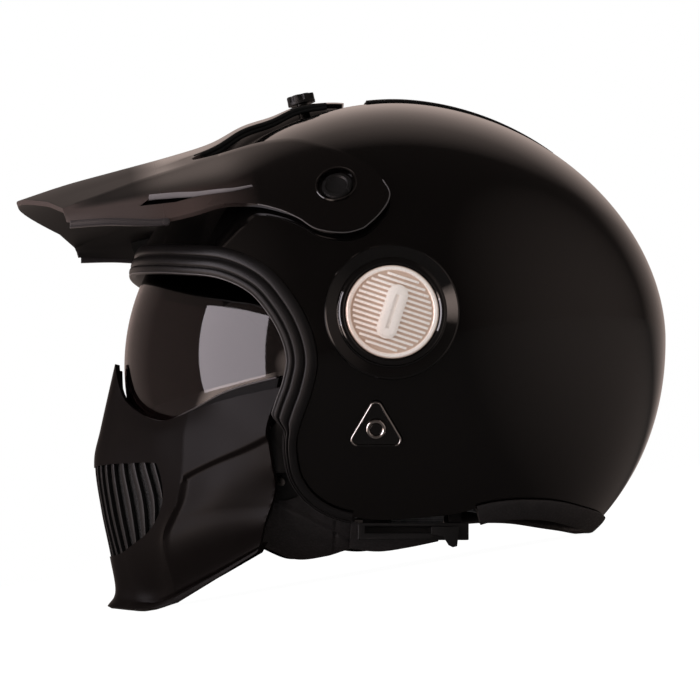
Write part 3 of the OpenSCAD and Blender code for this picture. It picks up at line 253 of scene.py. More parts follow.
# A dark grey for the peak's lip, and for the painted highlight line of the mask blade's bead.
grey_lip_and_painted_highlight = satin("grey_lip_and_painted_highlight", (0.020, 0.016, 0.017), (0.030, 0.025, 0.026), 0.36, 1400, 0.05, 0.5)
bright_chrome = metal("bright_chrome", (0.62, 0.60, 0.58), (0.78, 0.75, 0.73), 0.14, 2000, 0.03)
steel = metal("steel", (0.42, 0.41, 0.40), (0.56, 0.55, 0.53), 0.30, 900, 0.06, (1, 1, 8))
blade_grey = satin("blade_grey", (0.13, 0.115, 0.12), (0.18, 0.16, 0.165), 0.34, 1400, 0.05)


def champagne():
    """Gilt metal, with painted shade in the hollows between its ribs and painted light making it paler
    towards the back.
    """
    look = finish_of("gold_metal")
    at = look.place()
    fine = look.noise(at, 2600, 3, 0.6)
    # Painted light: the colour grows paler towards the back, where the light falls.
    across = look.span(look.along("Y"), -0.036, 0.010, 0, 1)
    # Painted shade: the ground between the ribs is coloured darker than their lit crests.
    ground = look.tint(across, (0.30, 0.15, 0.095), (0.68, 0.50, 0.40))
    painted_lit_crest = look.tint(across, (0.66, 0.44, 0.33), (1.0, 0.92, 0.86))
    look.set({"Base Color": look.blend(look.attribute("raised"), ground, painted_lit_crest), "Metallic": 0.35,
              "Roughness": look.span(fine, 0.3, 0.7, 0.24, 0.38)})
    return look.bump(fine, 0.10)


def leather():
    """Soft black leather cloth: pebbled grain with creases."""
    look = finish_of("trim_leather")
    at = look.place()
    pebble = look.cells(at, 620)
    crease = look.noise(at, 120, 5, 0.65)
    height = pebble * 0.7 + crease * 0.8
    look.set({"Base Color": look.tint(crease, (0.006, 0.0055, 0.006), (0.018, 0.014, 0.014)),
              "Roughness": look.span(pebble, 0.1, 0.6, 0.42, 0.58)})
    return look.bump(height, 0.35, 0.0006)


def lining():
    """Open-knit lining cloth: a fine honeycomb of loops over a brushed ground."""
    look = finish_of("lining_cloth")
    at = look.place()
    holes = look.cells(at, 520)
    fuzz = look.noise(at, 2400, 3, 0.7)
    look.set({"Base Color": look.tint(look.span(holes, 0.1, 0.7, 1, 0), (0.006, 0.006, 0.007),
                                      (0.024, 0.023, 0.025)),
              "Roughness": look.span(fuzz, 0.3, 0.7, 0.82, 0.95), "Sheen Weight": 0.3,
              "Sheen Roughness": 0.5})
    return look.bump(look.span(holes, 0.1, 0.6, 0, 1) * -1.0 + fuzz * 0.4, 0.5, 0.0006)


def bead_foam():
    """Expanded foam: fused beads with dark joints."""
    look = finish_of("foam")
    at = look.place()
    bead = look.cells(at, 330)
    tone = look.noise(at, 60, 3, 0.6)
    look.set({"Base Color": look.tint(tone, (0.020, 0.020, 0.021), (0.034, 0.034, 0.036)),
              "Roughness": look.span(bead, 0.0, 0.6, 0.62, 0.86)})
    return look.bump(look.span(bead, 0.0, 0.6, 1, 0), 0.5, 0.0008)


def filter_foam():
    """Open-cell foam: a mat of small dark pores."""
    look = finish_of("filter_foam")
    at = look.place()
    pore = look.cells(at, 900)
    look.set({"Base Color": look.tint(look.span(pore, 0.05, 0.55, 1, 0), (0.012, 0.012, 0.012),
                                      (0.003, 0.003, 0.003)),
              "Roughness": look.span(pore, 0, 0.6, 0.98, 0.85)})
    return look.bump(pore, 0.8, 0.0008)


def webbing():
    """Woven strap: ribs along the strap crossed by fine picks, read from the strap's own UV map."""
    look = finish_of("webbing")
    at = look.uv()
    ribs = look.bands(at, 3.2, "Y")
    picks = look.bands(at, 11, "X", warp=0.3)
    fuzz = look.noise(look.place(), 1800, 3, 0.7)
    height = ribs * 0.7 + picks * 0.5 + fuzz * 0.2
    look.set({"Base Color": look.tint(height, (0.006, 0.006, 0.007), (0.030, 0.029, 0.031)),
              "Roughness": look.span(fuzz, 0.3, 0.7, 0.72, 0.88), "Sheen Weight": 0.2})
    return look.bump(height, 0.5, 0.0006)


def smoke():
    """Smoked lens: tinted clear plastic with a hard bright surface and a few faint smears."""
    look = finish_of("smoke_lens")
    at = look.place()
    smear = look.noise(look.stretched(at, (1, 1, 3)), 22, 4, 0.6)
    look.set({"Base Color": look.tint(smear, (0.045, 0.036, 0.038), (0.058, 0.047, 0.049)),
              "Roughness": look.span(smear, 0.4, 0.7, 0.015, 0.05),
              "Transmission Weight": 1.0, "IOR": 1.5})
    return look.bump(look.noise(at, 60, 2, 0.5), 0.008)


gold_metal = champagne()
trim_leather = leather()
lining_cloth = lining()
foam = bead_foam()
filter_mat = filter_foam()
strap_web = webbing()
smoke_lens = smoke()


# Light and floor
def towards(look, way, aim_at, inner, outer):
    """1 where a direction lies within inner degrees of aim_at, fading to 0 at outer degrees."""
    near = look.node("ShaderNodeVectorMath", {"operation": "DOT_PRODUCT"},
                     {0: way, 1: tuple(Vector(aim_at).normalized())}, out="Value")
    return look.span(near, math.cos(math.radians(outer)), math.cos(math.radians(inner)), 0, 1)


def room_glow(look, way):
    """What the gloss mirrors: a dark room with a pale wall behind, and softer ones ahead and aft."""
    wall = towards(look, way, (-1, 0, 0), 25, 60)
    aft = towards(look, way, (0.35, 0.94, 0), 10, 52)
    ahead = towards(look, way, (0.1, -1, 0.1), 10, 58)
    beside = towards(look, way, (0.77, -0.63, 0.06), 7, 16)
    beyond = towards(look, way, (-0.69, 0.16, 0.71), 12, 36)
    return 0.045 + wall * 0.38 + aft * 0.23 + ahead * 0.16 + beside * 2.2 + beyond * 0.42


def rays(look, *kinds):
    """1 for the named kinds of ray."""
    found = [look.node("ShaderNodeLightPath", out="Is " + kind + " Ray") for kind in kinds]
    return found[0] if len(found) == 1 else found[0].math("MAXIMUM", *found)


WARM = (1.0, 0.80, 0.72)
studio = Look(bpy.data.worlds.new("studio"), "ShaderNodeBackground")
bpy.context.scene.world = studio.owner
way = studio.node("ShaderNodeTexCoord", out="Generated")
direct = rays(studio, "Camera", "Transmission")
mirrored_ray = rays(studio, "Glossy")
studio.set({"Color": studio.tint(mirrored_ray, (1, 1, 1), WARM),
            "Strength": direct + mirrored_ray * room_glow(studio, way) + rays(studio, "Diffuse") * 0.7})


def softbox(name, at, to, size, radiance, colour, mirrored_too=True):
    """A rectangular lamp of an even radiance. One that isn't mirrored only fills the shadows."""
    bpy.ops.object.light_add(type="AREA", location=at)
    lamp = bpy.context.object
    lamp.name = name
    lamp.data.shape = "RECTANGLE"
    lamp.data.size, lamp.data.size_y = size
    lamp.data.energy = radiance * math.pi * size[0] * size[1]
    lamp.data.color = colour
    lamp.rotation_mode = "QUATERNION"
    lamp.rotation_quaternion = (Vector(to) - Vector(at)).to_track_quat("-Z", "Y")
    lamp.visible_glossy = mirrored_too


middle = (0, 0, 0.12)
softbox("front_softbox", (0.45, -1.40, 0.56), (0, -0.05, 0.12), (0.82, 1.05), 4.8, (1.0, 0.91, 0.98))
softbox("side_fill", (2.2, -0.4, 1.3), middle, (1.4, 1.4), 1.6, (1.0, 0.94, 0.90), False)
softbox("overhead_fill", (-0.2, 0.2, 2.0), middle, (1.6, 1.6), 1.4, (1.0, 0.93, 0.88), False)
softbox("rear_fill", (-1.2, 1.8, 1.1), middle, (1.2, 1.2), 1.2, (1.0, 0.92, 0.87), False)

bpy.ops.mesh.primitive_circle_add(vertices=96, radius=12, fill_type="NGON")
floor = bpy.context.object
floor.name = "studio_floor"
floor_look = Look(bpy.data.materials.new("floor_paper"), "ShaderNodeMixShader")
from_middle = floor_look.node("ShaderNodeVectorMath", {"operation": "SUBTRACT"},
                              {0: floor_look.place(), 1: middle})
floor_way = floor_look.node("ShaderNodeVectorMath", {"operation": "NORMALIZE"}, {0: from_middle})
floor_direct = rays(floor_look, "Camera", "Transmission")
floor_mirrored = rays(floor_look, "Glossy")
# Painted light: a bright pool on the floor in front of the front softbox, glowing for mirrored rays.
painted_light_pool = towards(floor_look, floor_way, (0.3, -0.93, -0.12), 12, 19)
fibres = floor_look.noise(floor_look.place(), 30)
paper = floor_look.node("ShaderNodeBsdfDiffuse", None, {
    "Color": floor_look.tint(fibres, (0.80, 0.80, 0.80), (0.84, 0.84, 0.84))})
seen_glow = room_glow(floor_look, floor_way) + painted_light_pool * 3.6
white = floor_look.node("ShaderNodeEmission", None, {
    "Color": floor_look.tint(floor_mirrored, (1, 1, 1), WARM),
    "Strength": floor_direct * 1.12 + floor_mirrored * seen_glow})
floor_look.give(floor_look.shader, {0: floor_direct * 0.88 + floor_mirrored * 0.97, 1: paper, 2: white})
floor.data.materials.append(floor_look.owner)


# Modelling
def alone(piece):
    bpy.ops.object.select_all(action="DESELECT")
    piece.select_set(True)
    bpy.context.view_layer.objects.active = piece


def edit(piece, *steps):
    """Runs the steps in edit mode, with the whole mesh selected."""
    alone(piece)
    bpy.ops.object.mode_set(mode="EDIT")
    bpy.ops.mesh.select_all(action="SELECT")
    for step in steps:
        step()
    bpy.ops.object.mode_set(mode="OBJECT")


def weld(limit=0.02):
    return lambda: bpy.ops.mesh.remove_doubles(threshold=limit)


def outwards():
    bpy.ops.mesh.normals_make_consistent(inside=False)


def close_ends():
    bpy.ops.mesh.fill_holes(sides=0)


def capped(piece, limit=0.01):
    """Joins a tube's seam and closes its ends."""
    edit(piece, weld(limit), close_ends, outwards)
    return piece


def modify(piece, kind, **settings):
    alone(piece)
    made = piece.modifiers.new(kind.lower(), kind)
    for key, value in settings.items():
        setattr(made, key, value)
    bpy.ops.object.modifier_apply(modifier=made.name)


def form(name, cells, at):
    """A grid laid over the surface that at(u, v) gives, with u and v from 0 to 1."""
    bpy.ops.mesh.primitive_grid_add(x_subdivisions=cells[0], y_subdivisions=cells[1], size=2)
    piece = bpy.context.object
    piece.name = name
    for vertex in piece.data.vertices:
        vertex.co = at((vertex.co.x + 1) / 2, (vertex.co.y + 1) / 2)
    return piece


def turn_out(piece, core=Vector((0, 0, 0))):
    """Welds an open sheet and turns its faces away from the core."""
    edit(piece, weld())
    side = sum((f.center - core).dot(f.normal) * f.area for f in piece.data.polygons)
    if side < 0:
        edit(piece, bpy.ops.mesh.flip_normals)


def wall_of(piece, thick, core=Vector((0, 0, 0))):
    """Gives an open sheet a wall on its inner side."""
    turn_out(piece, core)
    modify(piece, "SOLIDIFY", thickness=thick, offset=-1, use_even_offset=True)


def soften(piece, width, segments=2, angle=35):
    modify(piece, "BEVEL", width=width, segments=segments, limit_method="ANGLE",
           angle_limit=math.radians(angle), harden_normals=False, use_clamp_overlap=True)


def cut(piece, *tools):
    for tool in tools:
        modify(piece, "BOOLEAN", operation="DIFFERENCE", object=tool, solver="EXACT")
        bpy.data.objects.remove(tool)


def placed(at, way):
    """Turns +Z to a direction and moves the origin to a point."""
    return Matrix.Translation(at) @ Vector(way).to_track_quat("Z", "Y").to_matrix().to_4x4()


def rod(at, way, radius, length, sides=64):
    bpy.ops.mesh.primitive_cylinder_add(vertices=sides, radius=radius, depth=length)
    tool = bpy.context.object
    tool.data.transform(placed(at, way))
    return tool


def block(scale, at=(0, 0, 0)):
    bpy.ops.mesh.primitive_cube_add(size=1, location=at, scale=scale)
    bpy.ops.object.transform_apply()
    return bpy.context.object


def spun(name, profile, at, way, steps=96):
    """A profile of (radius, height) pairs turned about a line."""
    count = len(profile) - 1
    piece = form(name, (steps, count), lambda u, v: Vector((
        profile[round(v * count)][0] * math.cos(math.tau * u),
        profile[round(v * count)][0] * math.sin(math.tau * u), profile[round(v * count)][1])))
    edit(piece, weld(0.001), outwards)
    piece.data.transform(placed(at, way))
    return piece


def mirrored(piece, name):
    """A copy of a piece for the other side, with its own mesh."""
    other = piece.copy()
    other.data = piece.data.copy()
    other.name = name
    bpy.context.collection.objects.link(other)
    other.data.transform(Matrix.Diagonal((-1, 1, 1, 1)))
    other.data.flip_normals()
    return other


def finish(piece, body, look, *nodes, angle=35, slot=None):
    """Sets a piece down, shades it, hands it to its body and hides the CAD nodes that it stands for."""
    piece.data.transform(STAND)
    alone(piece)
    bpy.ops.object.shade_smooth_by_angle(angle=math.radians(angle))
    piece.data.materials.clear()
    piece.data.materials.append(look.owner)
    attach(piece, body)
    slot or look.slot
    if nodes:
        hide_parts(*nodes)
    return piece


def both(piece, stem, body, look, angle=35, node=None):
    """Finishes a left piece and its mirror image, for the stem's two CAD nodes or one that holds both."""
    other = mirrored(piece, stem + "_right_form")
    piece.name = stem + "_left_form"
    finish(piece, body, look, node or stem + "_left", angle=angle)
    finish(other, body, look, node or stem + "_right", angle=angle)


def refined(node, body, look, width, segments=2):
    """A CAD node's own shape, merged and with its edges eased, in its place."""
    alone(frame["nodes"][node])
    piece = frame["nodes"][node].copy()
    piece.data = frame["nodes"][node].data.copy()
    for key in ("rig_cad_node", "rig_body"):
        del piece[key]
    piece.parent = None
    piece.name = node + "_form"
    bpy.context.collection.objects.link(piece)
    piece.data.transform(STAND.inverted())
    edit(piece, weld(0.005), lambda: bpy.ops.mesh.dissolve_limited(angle_limit=math.radians(1.5)))
    soften(piece, width, segments, 30)
    return finish(piece, body, look, node, angle=30)


# Curves
def mix(a, b, t):
    return a + (b - a) * t


def clamped(t):
    return min(1.0, max(0.0, t))


def ease(t):
    t = clamped(t)
    return t * t * (3 - 2 * t)


def bell(t, width):
    return math.exp(-(t / width) ** 2)


def polar(radius, angle):
    return Vector((radius * math.cos(angle), radius * math.sin(angle), 0))


def vectors(*rows):
    return [Vector(p) for p in rows]


def curve(points, t):
    """A smooth curve through the points, at t from 0 to the number of its spans."""
    last = len(points) - 1
    i = min(int(t), last - 1)
    f = t - i
    b, c = points[i], points[i + 1]
    a = points[i - 1] if i else 2 * points[0] - points[1]
    d = points[i + 2] if i + 2 <= last else 2 * points[last] - points[last - 1]
    return b + ((c - a) + ((2 * a - 5 * b + 4 * c - d) + (3 * (b - c) + d - a) * f) * f) * (f / 2)


def table_curve(rows, t):
    """The value at t of a smooth curve through (place, value) rows."""
    for (a, p), (b, q) in zip(rows, rows[1:]):
        if t <= b:
            return mix(p, q, (t - a) / (b - a))
    return rows[-1][1]


def flip(p):
    return Vector((-p.x, p.y, p.z))


# Rounded bodies: reaches to the front, back, up and down, and half the width
SHELL = (142, 141, 122.5, 137.5, 124)
HEAD = (108, 106, 82, 190, 86)
WALL = 3.5
CROSS = 2.25


def outline_r(body, c, s, inset):
    a = (body[1] if c > 0 else body[0]) - inset
    b = (body[2] if s > 0 else body[3]) - inset
    p = 1.89 if s > 0 else 2.1
    return ((abs(c) / a) ** p + (abs(s) / b) ** p) ** (-1 / p)


def level(body, p, inset=0.0):
    rho = max(math.hypot(p.y, p.z), 0.001)
    r = outline_r(body, p.y / rho, p.z / rho, inset)
    return ((rho / r) ** CROSS + (abs(p.x) / (body[4] - inset)) ** CROSS) ** (1 / CROSS)


def skin(body, p, inset=0.0):
    return p / level(body, p, inset)


def side_x(body, y, z, inset=0.0):
    rho = max(math.hypot(y, z), 0.001)
    r = outline_r(body, y / rho, z / rho, inset)
    return (body[4] - inset) * max(0.0, 1 - (rho / r) ** CROSS) ** (1 / CROSS)


def on_side(body, y, z, inset=0.0):
    return Vector((side_x(body, y, z, inset), y, z))


def outward(body, p):
    steps = [Vector(e) for e in ((0.5, 0, 0), (0, 0.5, 0), (0, 0, 0.5))]
    return Vector([level(body, p + e) - level(body, p - e) for e in steps]).normalized()


# Edge of the shell, from the brow down the left side to the nape
RIM = vectors(
    (0, -130, 43), (45, -124, 41), (75, -108, 38), (96, -87, 34), (108, -70, 25), (115, -59, 12),
    (118, -51, -3), (119, -48, -18), (116, -50, -32), (112, -54, -44), (108, -57, -55), (105, -57, -66),
    (101, -54, -76), (98, -46, -86), (97, -33, -93), (97, -15, -95), (99, 4, -95), (98, 24, -92),
    (96, 40, -86), (90, 58, -84), (78, 78, -86), (52, 96, -89), (26, 104, -91), (0, 107, -92))
SPANS = len(RIM) - 1
RIM_MIRRORED = [flip(RIM[1]), *RIM, flip(RIM[-2])]
POLE = Vector((0, 0.7, 0.7)).normalized()


def rim_round(u):
    """Place on the shell's edge: u is 0 at the brow, 0.5 at the nape, and less than 0 on the right."""
    turn = u % 1
    t = 2 * SPANS * min(turn, 1 - turn)
    p = skin(SHELL, curve(RIM_MIRRORED, t + 1))
    return p if turn <= 0.5 else flip(p)


def spoke(u, t, inset):
    p = rim_round(u)
    a = p.normalized()
    c = math.acos(a.dot(POLE))
    w = c * t * (1 - inset / (p.length * c))
    return (math.sin(c - w) * POLE + math.sin(w) * a) / math.sin(c)


def rim_frame(u):
    """Point of the shell's edge, the way off it along the surface, and the way out of the surface."""
    p = rim_round(u)
    out = outward(SHELL, p)
    off = (rim_round(u + 0.003) - rim_round(u - 0.003)).cross(out).normalized()
    return p, (off if off.dot(POLE) < 0 else -off), out


# Places on the shell's left side
bezel_at = Vector((side_x(SHELL, -9.5, 4.6), -9.5, 4.6))
latch_at = on_side(SHELL, -16.7, -51)
latch_way = outward(SHELL, latch_at)
screw_at = on_side(SHELL, peak_axis.y, peak_axis.z)
screw_way = outward(SHELL, screw_at)
OUT = Vector((1, 0, 0))
LEAN = math.radians(-12.5)
crown_way = Vector((0, math.sin(LEAN), math.cos(LEAN)))


def surface_along(p, way):
    low, high = 0.0, 200.0
    for _ in range(24):
        t = (low + high) / 2
        low, high = (t, high) if level(SHELL, p + t * way) < 1 else (low, t)
    return p + low * way


crown_at = surface_along(peak_axis, crown_way)


def latch_stand():
    """The latch plate's own axes: the CAD turns them about Z and then Y."""
    way = latch_way
    turn = Matrix.Rotation(math.atan2(way.y, way.x), 4, "Z") @ Matrix.Rotation(math.acos(way.z), 4, "Y")
    return Matrix.Translation(latch_at) @ turn


LATCH_SIDE = 25
LATCH_CORNER = 3.4


def latch_edge(a, corner):
    """Point at angle a of the latch's triangle in its own plane, its corners rounded by a radius."""
    near = max(range(3), key=lambda j: math.cos(a - math.radians(60 + 120 * j)))
    b = math.radians(60 + 120 * near)
    reach = (LATCH_SIDE - 2 * LATCH_CORNER) / math.sqrt(3)
    return polar(reach, b) + polar(corner, a)


def latch_tool(grow, length):
    """Rounded triangle through the shell at the latch, its point upwards."""
    sides = 36
    bpy.ops.mesh.primitive_cylinder_add(vertices=sides, radius=1, depth=length)
    tool = bpy.context.object
    for vertex in tool.data.vertices:
        k = round(math.atan2(vertex.co.x, vertex.co.y) / math.tau * sides) % sides
        vertex.co.xy = latch_edge(math.tau * k / sides, LATCH_CORNER + grow).xy
    edit(tool, outwards)
    tool.data.transform(latch_stand())
    return tool


# Outer shell
shell = form("shell_form", (256, 88), lambda u, v: skin(SHELL, spoke(u, max(v, 0.0), 0)))
wall_of(shell, WALL)
BEZEL_HOLE = 30.3
SCREW_HOLE = 3.05
LATCH_GAP = 0.3
tools = [rod(bezel_at, OUT, BEZEL_HOLE, 40, 96), rod(screw_at, screw_way, SCREW_HOLE, 24),
         latch_tool(LATCH_GAP, 24)]
cut(shell, *[mirrored(t, "far_tool") for t in tools], *tools, rod(crown_at, crown_way, SCREW_HOLE, 24))
finish(shell, "helmet", shell_gloss, "outer_shell", angle=40)

# Visor
visor_pivot = Vector((0, -28, -13.6))
VISOR_HALF = 110.0
VISOR_PAST_BROW = 7.9
VISOR_R = visor_pivot.y - rim_round(0).y + VISOR_PAST_BROW
VISOR_POWER = 1.6
VISOR_T = 2.2
VISOR_HUB_R = 9.0
VISOR_LOW, VISOR_HIGH = -20, 36  # Degrees about the pivot


def from_pivot(p):
    return math.hypot(p.y - visor_pivot.y, p.z - visor_pivot.z)


def visor_x(r):
    return VISOR_HALF * max(0.0, 1 - (r / VISOR_R) ** VISOR_POWER) ** (1 / VISOR_POWER)


def visor_point(u, v):
    k = 2 * u - 1
    r = mix(VISOR_HUB_R, VISOR_R, math.sin(math.pi / 2 * (1 - abs(k))))
    a = math.radians(mix(VISOR_LOW, VISOR_HIGH, v))
    x = math.copysign(visor_x(r), k)
    return Vector((x, visor_pivot.y - r * math.cos(a), visor_pivot.z + r * math.sin(a)))


visor = form("visor_form", (160, 40), visor_point)
wall_of(visor, VISOR_T, visor_pivot)
soften(visor, 0.5, 2, 50)
finish(visor, "visor", smoke_lens, "visor_lens", angle=40)


# Peak: rails from the front edge backwards
peak_low = vectors(
    (86, -166, 51), (91, -146, 52), (95, -121, 51.5), (97, -106, 54.5), (98, -91, 59), (100, -77, 59.5),
    (105, -64, 56), (110, -54, 51), (115, -45, 45), (118, -31, 43), (118, -18, 47))
peak_mid = vectors(
    (86, -167, 54.5), (87, -148, 59), (87, -125, 64), (85, -106, 69), (84, -90, 73.5), (88, -74, 76),
    (94, -60, 76), (100, -47, 72), (104, -34, 66), (108, -20, 60), (112, -10, 60.5))
peak_crease = vectors(
    (84, -168, 58), (78, -149, 66), (70, -128, 75), (62, -107, 83), (58, -90, 89.5), (66, -72, 94),
    (77, -55, 94.5), (91, -40, 89.5), (98, -29, 84), (104, -19, 77), (109, -12, 70))
tail_edge = vectors(
    (63, -176, 63.5), (58, -156, 71), (53, -134, 79), (52, -110, 87), (43, -93, 95), (33, -79, 105),
    (24, -64, 111.5), (17, -48, 119.5), (13, -27, 121.9), (10, -12, 118), (8, -4, 118))
peak_centre = vectors(
    (0, -195, 70), (0, -171, 78.5), (0, -145, 86), (0, -118, 93.5), (0, -96, 101), (0, -79, 110.5),
    (0, -64, 116), (0, -48, 122.4), (0, -27, 124.1), (0, -12, 120), (0, -4, 120))
PEAK_T = 2.6
PEAK_GAP = 2.4
SIDE, PLATE, TAIL = 16, 8, 12
PEAK_HALF = SIDE + PLATE + TAIL


def arm_laid(p, s):
    q = on_side(SHELL, p.y, p.z, -(PEAK_GAP + PEAK_T))
    return mix(p, q, ease((s - 4) / 2))


def peak_point(s, k):
    """Point of the peak's upper face: s runs back from the front edge, k in from the lower edge."""
    crease = arm_laid(curve(peak_crease, s), s)
    if k <= SIDE:
        low, mid = arm_laid(curve(peak_low, s), s), arm_laid(curve(peak_mid, s), s)
        return arm_laid(curve([low, mid, crease], 2 * k / SIDE), s)
    edge, centre = curve(tail_edge, s), curve(peak_centre, s)
    if k <= SIDE + PLATE:
        return mix(crease, edge, (k - SIDE) / PLATE)
    t = (k - SIDE - PLATE) / TAIL
    bend = 1 - (1 - t) ** 2
    return Vector((mix(edge.x, centre.x, t), mix(edge.y, centre.y, bend), mix(edge.z, centre.z, bend)))


def ends(k):
    """Where the rows stop: the window's front edge for the plate, the tail's end, and the arm's end."""
    if k < SIDE:
        t = k / SIDE
        return 10 - 0.35 * abs(2 * t - 1) ** 4
    if k <= SIDE + PLATE:
        t = (k - SIDE) / PLATE
        return 3.2 + 0.75 * abs(2 * t - 1) ** 2.5
    t = (k - SIDE - PLATE) / TAIL
    return 8.0 + 0.3 * t ** 0.5


def joined(name, *parts):
    alone(parts[0])
    for part in parts[1:]:
        part.select_set(True)
    bpy.ops.object.join()
    parts[0].name = name
    return parts[0]


WINDOW = 3.95
FRONT_ROWS, BACK_ROWS = 48, 72


def front_row(u, v):
    """The front of the peak, whole across, back to the window."""
    k = u * 2 * PEAK_HALF
    half = min(k, 2 * PEAK_HALF - k)
    stop = WINDOW if half < SIDE or half > SIDE + PLATE else ends(half)
    p = peak_point(v * stop, half)
    return p if k <= PEAK_HALF else flip(p)


def arm_cell(u, v):
    k = u * SIDE
    return peak_point(mix(WINDOW, ends(min(k, SIDE - 0.001)), v), k)


def tail_cell(u, v):
    k = u * 2 * TAIL
    half = min(k, 2 * TAIL - k)
    p = peak_point(mix(WINDOW, 8.0 + 0.1 * (half / TAIL) ** 0.6, v), SIDE + PLATE + half)
    return p if k <= TAIL else flip(p)


brim = form("peak_form", (2 * PEAK_HALF, FRONT_ROWS), front_row)
arm = form("arm", (SIDE, BACK_ROWS), arm_cell)
tail = form("tail", (2 * TAIL, BACK_ROWS), tail_cell)
turn_out(arm)
peak = joined("peak_form", brim, arm, mirrored(arm, "far_arm"), tail)
edit(peak, weld(0.05), outwards)
turn_out(peak)
modify(peak, "SOLIDIFY", thickness=PEAK_T, offset=-1, use_even_offset=True)
CUP_HOLE = 9.8
cup_tool = rod(screw_at, screw_way, CUP_HOLE, 30)
cut(peak, mirrored(cup_tool, "far_tool"), cup_tool)
vent_corners = vectors((70, -130.4, 58.7), (70, -124.6, 63.4), (70, -96, 65.6), (70, -113, 60.6))
vent_tool = form("vent_tool", (1, 1), lambda u, v: vent_corners[
    round(v) + 2 * round(u) if u < 0.5 else 3 - round(v)])
turn_out(vent_tool)
VENT_DEPTH = 44
modify(vent_tool, "SOLIDIFY", thickness=VENT_DEPTH, offset=1)
cut(peak, mirrored(vent_tool, "far_tool"), vent_tool)
soften(peak, 0.5, 3, 28)
finish(peak, "peak", peak_gloss, "peak", angle=30)
# The attribute marks the steep outer front facet, where the peak's colour paints a brown sheen.
layer = peak.data.attributes.new("painted_sheen", "FLOAT", "POINT")
for vertex, value in zip(peak.data.vertices, layer.data):
    steep = clamped((0.80 - vertex.normal.z) / 0.14)
    front = clamped((-0.040 - vertex.co.y) / 0.034)
    outer = vertex.normal.x * vertex.co.x > 0
    value.value = steep * front if outer else 0


def beside_peak(s, k, out):
    """A point held off the peak's side face."""
    h = 0.05
    along = peak_point(s + h, k) - peak_point(s - h, k)
    over = peak_point(s, k + h) - peak_point(s, max(k - h, 0))
    way = along.cross(over).normalized()
    return peak_point(s, k) + out * (way if way.x > 0 else -way)


# A pale blade lies over the vent, and a lip runs under the front part of the lower edge
fin_line = vectors((1.95, 7.4, 1.25), (2.6, 6.2, 1.3), (3.3, 4.75, 1.15), (4.2, 3.7, 0.8),
                   (5.0, 4.4, 0.15))  # Place along and across the peak, and half width


def fin_at(u, v):
    s, k, half = curve(fin_line, 4 * u)
    a = math.tau * v
    p = beside_peak(s, k, 0.5 + 0.7 * max(0.0, math.cos(a)) - 0.8 * max(0.0, -math.cos(a)))
    return p + Vector((0, 0.10, 0.99)) * half * math.copysign(abs(math.sin(a)) ** 0.6, math.sin(a))


LIP = vectors((-2.2, 0, 0.5), (0.5, 0, 0.5), (0.7, 0, -0.2), (0.35, 0, -0.5), (0.35, 0, -2.2),
              (0.7, 0, -2.5), (0.5, 0, -3.0), (-2.2, 0, -3.0))
TAB_R, TAB_LENGTH = 1.8, 3.4
WELL_T = 0.6


def lip_at(u, v):
    return peak_point(mix(0.08, 2.15, u), 0) + LIP[round(8 * v) % 8]


def strip_path(drop):
    """A line under the tail's side edge, held clear of the shell."""
    points = []
    for k in range(61):
        s = mix(3.35, 7.6, k / 60)
        p = curve(tail_edge, s) + Vector((0.5, 0, -drop * mix(1, 0.55, k / 60)))
        near = level(SHELL, p)
        points.append(p if near > 1.02 else p * (1.02 / near))
    return points


fin = capped(form("peak_fin", (64, 20), fin_at))
lip = capped(form("peak_lip", (80, 8), lip_at))
tab = rod(peak_point(2.2, 0) + Vector((-0.6, 0, -1.4)), OUT, TAB_R, TAB_LENGTH, 32)
lip = joined("peak_lip", lip, tab)
soften(lip, 0.15, 2, 40)
# A matt black sheet behind the vent stands for the shade inside the opening.
vent_shade_sheet = form("peak_vent_shade_sheet", (24, 16), lambda u, v: beside_peak(mix(1.45, 3.9, u), mix(3.2, 9.2, v), -4.2))
wall_of(vent_shade_sheet, WELL_T)
CUP = [(4.6, 1.0), (10.3, 1.0), (10.3, 5.2), (9.9, 5.5), (9.3, 5.3), (8.9, 2.4), (4.6, 2.4), (4.6, 1.0)]
cup = spun("peak_cup", CUP, screw_at, screw_way)
for piece, look in ((fin, blade_grey), (lip, grey_lip_and_painted_highlight), (vent_shade_sheet, tail_matt), (cup, peak_gloss)):
    both(piece, piece.name, "peak", look, 40, "peak")

# Side screws: a dished head with a coin slot, at this height and turn
SCREW = [(0, -9), (3, -9), (3, 2.9), (7.6, 2.9), (7.6, 3.5),
         (6.9, 4.2), (5.6, 4.4), (4.9, 3.5), (2.2, 3.1), (0, 3.0)]
SLOT_UP, SLOT_TURN = 4.6, math.radians(60)
peak_screw = spun("peak_screw", SCREW, screw_at, screw_way)
coin_slot = block((1.7, 20, 2.2))
coin_slot.data.transform(placed(screw_at + SLOT_UP * screw_way, screw_way)
                         @ Matrix.Rotation(SLOT_TURN, 4, "Z"))
cut(peak_screw, coin_slot)
soften(peak_screw, 0.2, 2, 40)
both(peak_screw, "peak_screw", "helmet", satin_black)


